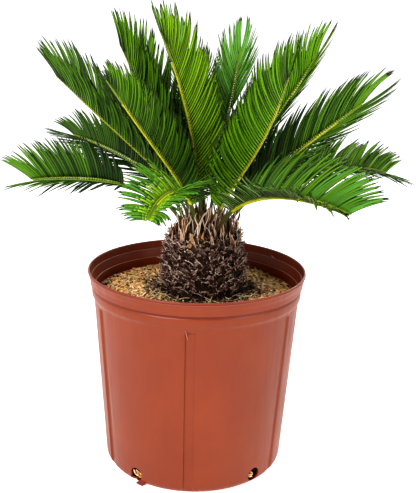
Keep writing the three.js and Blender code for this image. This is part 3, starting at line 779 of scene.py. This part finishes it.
def on_barrel(share, turn, sunk):
    """Places on the barrel at a share of its height and a turn, and the outward way at each."""
    out = outward(turn)
    place = CAUDEX_AXIS + out * (barrel_radius(share) - sunk)[:, None]
    place[:, 2] = CAUDEX_FOOT_Z + (CAUDEX_TOP_Z - CAUDEX_FOOT_Z) * share
    return place, out


def lying(out, lean, skew):
    """Direction and outer face of scales that lean up from the outward way and skew sideways."""
    lean = lean[:, None]
    ahead = out * np.cos(lean) + UP * np.sin(lean) + np.cross(UP, out) * skew[:, None]
    return ahead, out * np.sin(lean) - UP * np.cos(lean)


def wavy(centre, along, face, size, rng):
    """The same lines with a wave across and one towards the face: size x t sin(7 t + phase)."""
    across = np.cross(face, along)
    t = PAPER_STATIONS
    phase = rng.uniform(0, 2 * np.pi, (2, len(centre), 1))
    wave = rng.uniform(0.3, 1, (2, len(centre), 1)) * size * t * np.sin(7 * t + phase)
    return centre + across * wave[0][..., None] + face * wave[1][..., None]


def rimmed(rings, along, face, half_width, rng):
    """Narrow strips along both edges of broad cupped scales, and the lines they follow."""
    edges = np.concatenate([rings[:, :, 0], rings[:, :, 3]])
    along, face = (np.concatenate([v, v]) for v in (along, face))
    wide = half_width * rng.uniform(0.5, 1.3, (len(edges), 1)) * np.ones(edges.shape[1])
    return blades(edges, along, face, wide, wide * 0.8, DIAMOND), edges


def dry(kind, word, rings, finishes, roughness, rng):
    """Deals woody and papery bits out at random between dry finishes with little gloss."""
    deal = rng.random(len(rings))
    dealt(kind, word, rings, deal, finishes, "caudex", roughness, Specular_IOR_Level=0.3)


# Leaf stubs: broad woody scales that lie up the trunk and curl out at the tip, with frayed rims.
rng = np.random.default_rng(23)
number = np.arange(STUBS)
share = (number + 0.5) / STUBS * 0.9
turn = number * GOLDEN_TURN + rng.normal(0, 0.05, STUBS)
foot, out = on_barrel(share, turn, 6.2 + 4 * share ** 3)
lean = np.radians(rng.uniform(48, 78, STUBS) + 8 * share)
ahead, face = lying(out, lean, rng.normal(0, 0.25, STUBS))
length = STUB_LENGTH * rng.uniform(0.8, 1.15, STUBS)
curl = rng.uniform(0, 1.1, STUBS) * (1.1 - 0.6 * share)
centre, along, face = bent(foot, ahead, face, length, curl, STUB_STATIONS)
half_width = STUB_WIDTH / 2 * STUB_OUTLINE * rng.uniform(0.75, 1.1, (STUBS, 1))
rings = blades(centre, along, face, half_width, half_width * 0.24, CUPPED)
dry("leaf_stubs", "weathered leaf stub", rings, STUB_FINISHES, 0.85, rng)
strips, edges = rimmed(rings, along, face, 0.55, rng)
dry("stub_rims", "weathered stub rim", strips, RIM_FINISHES, 0.8, rng)

# Fibres: frayed from the rims of the stubs, dealt at random from dark to pale, set every way round.
item = rng.integers(len(edges), size=FIBRES)
foot = edges[item, rng.integers(1, len(STUB_STATIONS), FIBRES)]
out = unit((foot - CAUDEX_AXIS) * [1, 1, 0])
ahead = out * 0.5 + UP * 0.5 + rng.normal(0, 0.6, (FIBRES, 3))
length = rng.uniform(2, 6, FIBRES)
lines = bent(foot, ahead, out + 0.01, length, rng.uniform(-1.6, 1.6, FIBRES), STUB_STATIONS)
half_width = FIBRE_OUTLINE * rng.uniform(0.25, 0.75, (FIBRES, 1))
rings = blades(*lines, half_width, half_width * 0.6, DIAMOND)
dry("fibres", "frayed stub fibre", rings, RIM_FINISHES, 0.85, rng)

# Papery scales: thin, dry and brittle, tan to reddish brown with pale rims. They stand between
# the leaf stalks with long wisps torn from their rims.
share = np.sqrt(np.linspace(0.06, 1, PAPER_SCALES))
out = outward(np.arange(PAPER_SCALES) * GOLDEN_TURN)
foot = CAUDEX_AXIS + out * (share * PAPER_REACH)[:, None]
foot[:, 2] = CAUDEX_TOP_Z - 3 - 17 * share ** 3 + rng.normal(0, 2.5, PAPER_SCALES)
lean = np.radians(88 + 8 * share + rng.normal(0, 6, PAPER_SCALES))
ahead, face = lying(out, lean, rng.normal(0, 0.14, PAPER_SCALES))
length = rng.uniform(22, 34, PAPER_SCALES)
curl = rng.uniform(-0.4, 0.35, PAPER_SCALES)
centre, along, face = bent(foot, ahead, face, length, curl, PAPER_STATIONS)
centre = wavy(centre, along, face, 2.2, rng)
half_width = PAPER_OUTLINE * rng.uniform(3.8, 6.6, (PAPER_SCALES, 1))
rings = blades(centre, along, face, half_width, half_width * 0.16, CUPPED)
dry("papery_scales", "papery bud scale", rings, PAPER_FINISHES, 0.7, rng)
strips, _ = rimmed(rings, along, face, 0.5, rng)
dry("paper_rims", "papery scale rim", strips, PAPER_RIM_FINISHES, 0.7, rng)
out = outward(rng.uniform(0, 2 * np.pi, WISPS))
share = np.sqrt(rng.uniform(0.2, 1, WISPS))
foot = CAUDEX_AXIS + out * (share * (PAPER_REACH + 1))[:, None]
foot[:, 2] = CAUDEX_TOP_Z + rng.uniform(-14, 14, WISPS)
ahead, face = lying(out, np.radians(90 + 4 * share), rng.normal(0, 0.25, WISPS))
length = rng.uniform(20, 44, WISPS)
curl = rng.uniform(-0.4, 0.4, WISPS)
centre, along, face = bent(foot, ahead, face, length, curl, PAPER_STATIONS)
centre = wavy(centre, along, face, 4, rng)
half_width = WISP_OUTLINE * rng.uniform(0.4, 0.85, (WISPS, 1))
rings = blades(centre, along, face, half_width, half_width * 0.5, DIAMOND)
dry("wisps", "torn papery wisp", rings, WISP_FINISHES, 0.7, rng)


# ---- Fronds ----
# Feather leaves that rise from the top of the caudex: a stalk, a rib that carries on from it,
# and two rows of stiff narrow leaflets that stand up in a V and end in a sharp dark point.
# Wing 1 is on the right hand of someone who looks out along the rib, and wing -1 on the left.

# A frond's angles are in degrees and its sizes in mm. It springs from a ring on the crown at its
# azimuth and leans from upright to lean over its length, bare for the first part of it. roll
# turns the blade, keel lifts wing 1 and wing -1, and spread opens the leaflets from first to
# last. leaflet is the longest leaflet, tip the spread and length share of the last ones, curl,
# droop and ragged how leaflets bend and stray, rib its width, and tones its greens by wing.
Frond = namedtuple("Frond", "name azimuth ring upright lean length bare roll keel spread leaflet "
                            "tip curl droop ragged rib tones")
STEM_Z = CAUDEX_TOP_Z + 0.3
SETTLE = 0.2
STEPS = 200
# Their tones are partly painted light: lighter greens where the light falls on a frond, darker ones where
# it lies in shade, and blue and pale are painted sheen.
FRONDS = [
    Frond("front_low", 251, 27, 86, (58, -30), 178, 0.28, -20, (16, 40), (80, 52), 56, (50, 0.4), 30, 26,
          9, 3.8, ("lime vivid vivid", "leaf vivid vivid")),
    Frond("right_low", 302, 27, 66, (25, -5), 246, 0.2, 10, (30, 46), (62, 36), 74, (34, 0.6), 24, 26,
          5, 6.4, ("pale pale lime", "deep leaf vivid")),
    Frond("left_low", 188, 27, 86, (17, -5), 196, 0.48, -38, (40, 35), (70, 50), 58, (36, 0.8), 20, 26,
          4, 3.2, ("shade deep leaf", "shade deep leaf")),
    Frond("top", 216, 5, 88, (86, 64), 236, 0.2, 24, (60, 30), (40, 24), 78, (5, 0.35), 20, 16,
          3, 3.4, ("lime grass lime", "lime lime lime")),
    Frond("right_high", 318, 13, 82, (28, 74), 212, 0.16, 0, (38, 38), (56, 28), 74, (8, 0.66), 38, 16,
          4, 3.2, ("grass grass grass", "grass leaf grass")),
    Frond("left_high", 222, 14, 88, (38, 52), 222, 0.18, 20, (38, 38), (52, 22), 60, (14, 0.28), 40, 16,
          4, 3.0, ("deep leaf leaf", "leaf leaf grass")),
    Frond("left_mid", 196, 17, 86, (33, 45), 238, 0.18, -8, (46, 34), (52, 36), 80, (18, 0.55), 30, 16,
          4, 3.0, ("deep leaf leaf", "deep deep leaf")),
    Frond("right_mid", 345, 20, 74, (36, 40), 222, 0.18, 55, (30, 34), (40, 18), 74, (8, 0.7), 26, 16,
          6, 3.0, ("shade deep leaf", "shade deep leaf")),
    Frond("left_top", 172, 11, 88, (55, 65), 230, 0.2, 0, (50, 50), (50, 40), 76, (14, 0.6), 24, 16,
          4, 3.0, ("leaf leaf grass", "leaf leaf grass")),
    Frond("right_top", 12, 12, 84, (44, 61), 236, 0.18, 26, (38, 38), (55, 24), 72, (6, 0.66), 26, 16,
          5, 2.9, ("leaf grass lime", "leaf grass grass")),
    Frond("left_back", 155, 27, 86, (30, 12), 194, 0.34, -22, (30, 16), (60, 26), 60, (12, 0.7), 26, 24,
          5, 3.0, ("shade deep deep", "shade shade deep")),
    Frond("right_back", 14, 27, 68, (39, -15), 228, 0.28, 18, (12, 24), (52, 46), 60, (44, 0.7), 20, 20,
          5, 3.0, ("leaf pale leaf", "leaf pale leaf")),
    Frond("back_high", 52, 8, 88, (65, 78), 216, 0.2, 0, (16, 34), (36, 22), 66, (4, 0.6), 18, 16,
          4, 2.9, ("grass vivid blue", "grass vivid blue")),
    Frond("back_left", 120, 7, 88, (70, 62), 226, 0.2, 0, (38, 38), (46, 22), 66, (6, 0.66), 22, 16,
          4, 2.9, ("leaf vivid blue", "leaf vivid blue")),
    Frond("rear_low", 98, 27, 84, (24, -14), 214, 0.28, 0, (34, 34), (66, 38), 62, (10, 0.66), 28, 24,
          6, 3.6, ("deep leaf leaf", "deep leaf leaf")),
    Frond("rear_right_low", 56, 27, 84, (26, -6), 218, 0.28, 8, (34, 34), (64, 36), 62, (8, 0.66), 28, 24,
          6, 3.6, ("deep leaf leaf", "deep leaf vivid")),
    Frond("rear_left_low", 128, 27, 84, (30, -2), 218, 0.28, -8, (34, 34), (64, 36), 62, (8, 0.66), 28, 24,
          6, 3.6, ("deep leaf vivid", "deep leaf leaf")),
    Frond("rear_mid", 96, 16, 86, (46, 42), 226, 0.2, 0, (38, 38), (54, 28), 66, (8, 0.66), 30, 16,
          5, 3.0, ("leaf grass lime", "leaf leaf grass")),
    Frond("rear_right_mid", 42, 18, 86, (46, 44), 226, 0.2, 0, (38, 38), (54, 28), 66, (8, 0.66), 30, 16,
          5, 3.0, ("deep leaf grass", "leaf leaf grass")),
    Frond("rear_left_mid", 140, 18, 86, (44, 34), 206, 0.2, 0, (38, 38), (54, 28), 66, (8, 0.66), 30, 16,
          5, 3.0, ("leaf leaf grass", "deep leaf grass")),
]
STALK_FOOT_HALF = 3.6
STALK_HALF = 2.4
STALK_SWELL = 0.08
RIB_TAPER = 0.42
PITCH_SHARE = 23
LEAFLET_WIDTH_SHARE = 1.5
NARROWEST_SPREAD = np.radians(30)
LEAFLET_TWIST = np.radians(12)
TWIST_SPREAD = np.radians(5)
SWING = np.radians(1.9)
CLUMP_TURN = np.radians(3)
NEW_CLUMP = 0.36
STRAYS = 0.04
STRAY_SWING = np.radians(13)
LEAFLET_ROOM = 0.9
RIB_ROOM = 3.2
SAMPLES = np.linspace(0, 1, 25)
FREE_FROM = 3
END_GAP = 0.06
LEAFLET_STATIONS = np.array([0, 0.05, 0.14, 0.27, 0.4, 0.52, 0.64, 0.75, 0.86, 0.94, 1])
SHORTEST = 0.3
ROOF = np.array([[1, 0], [0.6, 1], [0, 1.2], [-0.6, 1], [-1, 0], [-0.6, -1], [0, -1.8], [0.6, -1]])
LEAFLET_HALF_HEIGHT = 0.2
ROLLED_EDGE = 0.5
# Half size of the strips along the leaflet margins that carry painted shade.
MARGIN_HALF = 0.42
TRIANGLE = np.array([[1, 0], [-0.5, 0.87], [-0.5, -0.87]])
GREEN_RIBS = ("left_low", "left_back", "right_back", "back_high")
OCTAGON = outward(np.radians(np.arange(0, 360, 45)))[:, :2]


def rib_path(frond):
    """Point, direction, normal and side of the rib at the ends of its even steps.

    Its lean above level runs evenly from the first to the last value of lean, plus
    (upright - first) exp(-u / settle) near the foot. The rib is the running sum of its
    directions, and roll turns the blade about it.
    """
    u = np.linspace(0, 1, STEPS + 1)
    first, last = frond.lean
    settled = first + (last - first) * u + (frond.upright - first) * np.exp(-u / SETTLE)
    lean = np.radians(np.where(u == 0, 90, settled))[:, None]
    azimuth, roll = np.radians([frond.azimuth, frond.roll])
    out = outward(azimuth)
    along = out * np.cos(lean) + UP * np.sin(lean)
    up = UP * np.cos(lean) - out * np.sin(lean)
    across = np.cross(along, up)
    normal = up * np.cos(roll) + across * np.sin(roll)
    side = across * np.cos(roll) - up * np.sin(roll)
    foot = CAUDEX_AXIS + out * frond.ring + UP * STEM_Z
    steps = np.concatenate([np.zeros((1, 3)), np.cumsum(along[:-1], axis=0)])
    return foot + steps * frond.length / STEPS, along, normal, side


def at(values, u):
    """Values of the path at shares u of its length, each taken between its two neighbours."""
    place = np.clip(u, 0, 1) * STEPS
    low = np.minimum(place.astype(int), STEPS - 1)
    part = (place - low)[:, None]
    return values[low] * (1 - part) + values[low + 1] * part


def rib_half(frond, u):
    """Half width of stalk and rib: swollen foot, even stalk, then a straight taper to the tip."""
    half = frond.rib / 2
    halves = [STALK_FOOT_HALF, STALK_HALF, half, half * RIB_TAPER]
    return np.interp(u, [0, STALK_SWELL, frond.bare, 1], halves)


def leaflet_share(frond, blade):
    """Share of the full leaflet length along the blade, down to the frond's own at its tip."""
    last = frond.tip[1]
    shares = [0.3, 0.6, 0.9, 1, 0.95, (1 + last) / 2, last]
    return np.interp(blade, [0, 0.06, 0.2, 0.45, 0.75, 0.92, 1], shares)


def leaflet_spread(frond, blade):
    """Angle between leaflet and rib: first to last with blade to the power 1.3, then to tip."""
    first, last = frond.spread
    open_part = first + (last - first) * blade ** 1.3
    return np.radians(open_part + (frond.tip[0] - open_part) * smooth_step((blade - 0.8) / 0.2))


def clumped(count, rng):
    """Turn of each leaflet of a row towards the middle of its clump, whose ends fall at random."""
    clump = np.cumsum(rng.random(count) < NEW_CLUMP)
    number = np.arange(count)
    middle = np.bincount(clump, number)[clump] / np.bincount(clump)[clump]
    return (number - middle) * CLUMP_TURN * rng.uniform(0.2, 1.3, clump[-1] + 1)[clump]


def leaflet_row(frond, wing, rng):
    """Leaflets of one wing, one a line: blade share, wing, length, swing, lift and twist.

    They stand closer towards the tip: the blade share is 1 - (1 - number / pairs) ^ 1.2, with
    the two wings a third of a step out of line.
    """
    pairs = int(frond.length * (1 - frond.bare) / (frond.leaflet / PITCH_SHARE))
    blade = 1 - (1 - (np.arange(pairs) + (0.5 if wing > 0 else 0.15)) / pairs) ** 1.2
    length = frond.leaflet * leaflet_share(frond, blade) * rng.uniform(0.9, 1.04, pairs)
    swing = clumped(pairs, rng) + rng.normal(0, SWING, pairs)
    swing += np.where(rng.random(pairs) < STRAYS, rng.uniform(-STRAY_SWING, STRAY_SWING, pairs), 0)
    lift = np.radians(rng.normal(0, frond.ragged, pairs))
    twist = rng.normal(LEAFLET_TWIST, TWIST_SPREAD, pairs)
    return np.column_stack([blade, np.full(pairs, wing), length, swing, lift, twist])


def leaflet_lines(frond, path, leaflets, t):
    """Centre lines, directions and upper faces of leaflets, leaflets x stations x 3.

    A leaflet leaves the rib at the spread angle in the plane of its wing, which rises from the
    blade's plane by keel. Both angles run evenly with t, from half the curl and droop above
    their mean to as much below it, plus the leaflet's own swing and lift times t. Its face
    leans by its twist towards the frond's tip.
    """
    blade, wing_side, length, swing, lift, twist = leaflets.T
    twist = twist[:, None, None]
    u = frond.bare + (1 - frond.bare) * blade
    point, along, normal, side = (at(values, u)[:, None] for values in path)
    spread = leaflet_spread(frond, blade)[:, None] + np.radians(frond.curl) * (0.5 - t)
    spread = (spread + swing[:, None] * t)[..., None]
    keel = np.radians(np.where(wing_side > 0, *frond.keel))[:, None] + np.radians(frond.droop) * (0.5 - t)
    keel = (keel + lift[:, None] * (0.4 + t))[..., None]
    outer = side * wing_side[:, None, None]
    wing = outer * np.cos(keel) + normal * np.sin(keel)
    direction = along * np.cos(spread) + wing * np.sin(spread)
    forward = unit(along - direction * (along * direction).sum(axis=-1, keepdims=True))
    wing_face = normal * np.cos(keel) - outer * np.sin(keel)
    face = wing_face * np.cos(twist) + forward * np.sin(twist)
    half = rib_half(frond, u)[:, None, None]
    foot = point + outer * half * 0.75 + normal * half * 0.2
    return summed(foot, direction, length, t), direction, face


def leaflet_width(t):
    """Half outline: (0.84 + 0.16 ease(2 t)) x (1.02 - ((t - 0.35) / 0.65) ^ 2.6 past 0.35)."""
    return (0.84 + 0.16 * smooth_step(t / 0.5)) * (1.02 - np.clip((t - 0.35) / 0.65, 0, 1) ** 2.6)


def tree_of(points):
    """A nearest-point tree of these points."""
    made = kdtree.KDTree(len(points))
    for number, point in enumerate(points):
        made.insert(point, number)
    made.balance()
    return made


paths = [rib_path(frond) for frond in FRONDS]
rib_points = np.concatenate([path[0][::2] for path in paths])
rib_owner = np.repeat(np.arange(len(FRONDS)), len(paths[0][0][::2]))
rib_tree = tree_of(rib_points)


def free_share(lines, owner, grown):
    """Share of each leaflet that is clear of every other rib and of the leaflets grown so far."""
    shares = np.ones(len(lines))
    for number, line in enumerate(lines):
        for place, sample in zip(SAMPLES[FREE_FROM:], line[FREE_FROM:]):
            found = rib_tree.find_range(sample, RIB_ROOM)
            near_rib = any(rib_owner[rib_number] != owner for _, rib_number, _ in found)
            near_leaflet = grown is not None and grown.find(sample)[2] < LEAFLET_ROOM
            if near_rib or near_leaflet:
                shares[number] = place - END_GAP
                break
    return shares


# Leaflets: leathery and glossy. Each frond has its own greens from its foot to its tip, partly for its age
# and partly painted light: lime and grass where the light falls, deep and shade on fronds in shade, blue a
# painted reflection of the sky and pale a painted grey-green highlight. Some leaflets are a shade darker
# than their neighbours, at random.
LEAF_TONES = {
    "shade": 0x304820,
    "deep": 0x486A22,
    "leaf": 0x608A24,
    "vivid": 0x609438,
    "grass": 0x6C9C14,
    "lime": 0x80A814,
    "blue": 0x74AC4C,
    "pale": 0x88A65C,
}
DARKER = {"shade": "shade", "deep": "shade", "leaf": "deep", "vivid": "leaf", "grass": "leaf",
          "lime": "grass", "blue": "vivid", "pale": "leaf"}
TONE_SPREAD = 0.5
DARKER_SHARE = 0.25
YOUNGEST = "front_low"
YOUNG_ENDS = (3, 4, 5)

rng = np.random.default_rng(37)
grown_points = np.zeros((0, 3))
leaflet_rings = []
leaflet_tones = []
painted_shade_margin_rings = ([], [])
is_young = []
for owner, (frond, path) in enumerate(zip(FRONDS, paths)):
    leaflets = np.concatenate([leaflet_row(frond, wing, rng) for wing in (1, -1)])
    grown = tree_of(grown_points) if len(grown_points) else None
    free = free_share(leaflet_lines(frond, path, leaflets, SAMPLES)[0], owner, grown)
    leaflets[:, 2] *= free
    leaflets = leaflets[free > SHORTEST]
    lines = leaflet_lines(frond, path, leaflets, SAMPLES)[0]
    grown_points = np.concatenate([grown_points, lines[:, FREE_FROM:].reshape(-1, 3)])
    t = LEAFLET_STATIONS
    centre, along, face = leaflet_lines(frond, path, leaflets, t)
    spread = np.maximum(leaflet_spread(frond, leaflets[:, 0]), NARROWEST_SPREAD)
    spacing = frond.leaflet / PITCH_SHARE * np.sin(spread)
    wide = spacing * LEAFLET_WIDTH_SHARE / 2 * rng.uniform(0.86, 1.06, len(leaflets))
    half_width = wide[:, None] * leaflet_width(t)
    half_height = np.full(half_width.shape, LEAFLET_HALF_HEIGHT) * (1.1 - t)
    rings = blades(centre, along, face, half_width, half_height, ROOF)
    rolled = (ROOF[:, 0] ** 2 * ROLLED_EDGE)[:, None] * (half_width[..., None, None] * face[..., None, :])
    leaflet_rings.append(rings - rolled)
    # Strips along both rolled edges of each leaflet, to be coloured with painted shade.
    margin_half = np.broadcast_to(MARGIN_HALF * (1.1 - t), half_width.shape)
    for margins, corner in zip(painted_shade_margin_rings, (0, 4)):
        edge = (rings - rolled)[:, :, corner]
        margins.append(blades(edge, along, face, margin_half, margin_half, TRIANGLE)[:, 1:-1])
    third = leaflets[:, 0] * 3 + rng.normal(0, TONE_SPREAD, len(leaflets))
    place = np.clip(third, 0, 2.99).astype(int)
    right, left = (np.array(words.split()) for words in frond.tones)
    tone = np.where(leaflets[:, 1] > 0, right[place], left[place])
    darker = rng.random(len(leaflets)) < DARKER_SHARE
    leaflet_tones.append(np.where(darker, [DARKER[name] for name in tone], tone))
    is_young.append(np.full(len(leaflets), frond.name == YOUNGEST))
leaflet_rings = np.concatenate(leaflet_rings)
leaflet_tones = np.concatenate(leaflet_tones)
is_young = np.concatenate(is_young)
young_end = np.where(is_young, rng.choice(YOUNG_ENDS, len(is_young)), 0)
for tone, colour in LEAF_TONES.items():
    glossy_leaf, _, _ = finish(f"leathery leaflet, {tone} green", colour, 0.4, Specular_IOR_Level=0.16)
    chosen = leaflet_tones == tone
    whole = tubes(leaflet_rings[chosen & ~is_young][:, 1:-2])
    solid(f"leaflets_{tone}", *whole, glossy_leaf, "foliage")
    if (chosen & is_young).any():
        outer_parts = [tubes(leaflet_rings[chosen & (young_end == end)][:, end:-2])
                       for end in YOUNG_ENDS]
        solid(f"young_leaflets_{tone}", *joined(outer_parts), glossy_leaf, "foliage")
bases = [tubes(leaflet_rings[young_end == end][:, 1:end]) for end in YOUNG_ENDS]
middles = [tubes(leaflet_rings[young_end == end][:, end - 1:end + 1]) for end in YOUNG_ENDS]
for part, pieces, colour in (("bases", bases, 0x8CB41A), ("middles", middles, 0x6E9A1E)):
    young_green, _, _ = finish(f"soft young leaflet, {part}", colour, 0.45)
    solid(f"young_leaflet_{part}", *joined(pieces), young_green, "foliage")
# Painted shade: the margin strips are near black green, for the shadow lines between the leaflets.
for margins, edge in zip(painted_shade_margin_rings, ("lower", "upper")):
    painted_shade_margin, _, _ = finish(f"rolled leaflet margin, {edge}", 0x1E3010, 0.5)
    solid(f"leaflet_margins_{edge}", *tubes(np.concatenate(margins)), painted_shade_margin, "foliage")
pale_foot, _, _ = finish("pale leaflet foot", 0x8A9628, 0.45)
solid("leaflet_feet", *tubes(leaflet_rings[:, :2]), pale_foot, "foliage")
dark_point, _, _ = finish("dry leaflet point", 0x2C3A18, 0.6)
solid("leaflet_points", *tubes(leaflet_rings[:, -3:]), dark_point, "foliage")

# Rib and stalk: smooth, tough and slightly waxy. The rib is yellow green, the stalk more olive,
# with brown felt left on its foot.
rib_green, tree, shader = finish("waxy yellow green rib", 0x909316, 0.42)
coords = add(tree, "ShaderNodeTexCoord")
flecks = add(tree, "ShaderNodeTexNoise", {"Scale": 160, "Detail": 3},
             {"Vector": coords.outputs["Object"]})
toned(tree, shader, flecks.outputs["Fac"], 0.35, 0.7, 0xA0A818, 0xC8C028)
stalk_green, tree, shader = finish("olive leaf stalk with brown felt", 0x4E5824, 0.5)
coords = add(tree, "ShaderNodeTexCoord")
height = add(tree, "ShaderNodeSeparateXYZ", None, {"Vector": coords.outputs["Object"]})
flecks = add(tree, "ShaderNodeTexNoise", {"Scale": 220, "Detail": 4},
             {"Vector": coords.outputs["Object"]})
ragged = add(tree, "ShaderNodeMath", {1: 0.03}, {0: flecks.outputs["Fac"]}, operation="MULTIPLY")
level = add(tree, "ShaderNodeMath", None, {0: height.outputs["Z"], 1: ragged.outputs[0]},
            operation="SUBTRACT")
# The felt ends unevenly between these two heights in metres.
toned(tree, shader, level.outputs[0], 0.278, 0.298, 0x54381F, 0x505A20)

stalk_rings = []
rib_rings = {"yellow": [], "green": [], "young": [], "tip": []}
for frond, path in zip(FRONDS, paths):
    kind = "young" if frond.name == YOUNGEST else "green" if frond.name in GREEN_RIBS else "yellow"
    runs = ((stalk_rings, 0, frond.bare, 16), (rib_rings[kind], frond.bare - 0.01, 0.86, 38),
            (rib_rings["tip"], 0.855, 1, 8))
    for kept, start, end, count in runs:
        u = np.linspace(start, end, count)
        point, along, normal, _ = (at(values, u) for values in path)
        half = rib_half(frond, u)
        across = np.cross(normal, along)
        kept.append(blades(point, along, np.cross(along, across), half, half * 0.85, OCTAGON))
stalks = solid("leaf_stalks", *tubes(np.stack(stalk_rings)), stalk_green, "foliage")
ribs = solid("frond_ribs", *tubes(np.stack(rib_rings["yellow"])), rib_green, "foliage")
leaf_green_rib, _, _ = finish("waxy leaf green rib", 0x6C8C24, 0.45)
green_parts = [tubes(np.stack(rib_rings[kind])) for kind in ("green", "tip")]
solid("green_frond_ribs", *joined(green_parts), leaf_green_rib, "foliage")
young_rib, _, _ = finish("soft young rib", 0xCCD422, 0.5)
solid("young_frond_rib", *tubes(np.stack(rib_rings["young"])), young_rib, "foliage")
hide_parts(*[name for name in frame["nodes"] if name.startswith("stalk_")])
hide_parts(*[name for name in frame["nodes"] if name.startswith("frond_")])
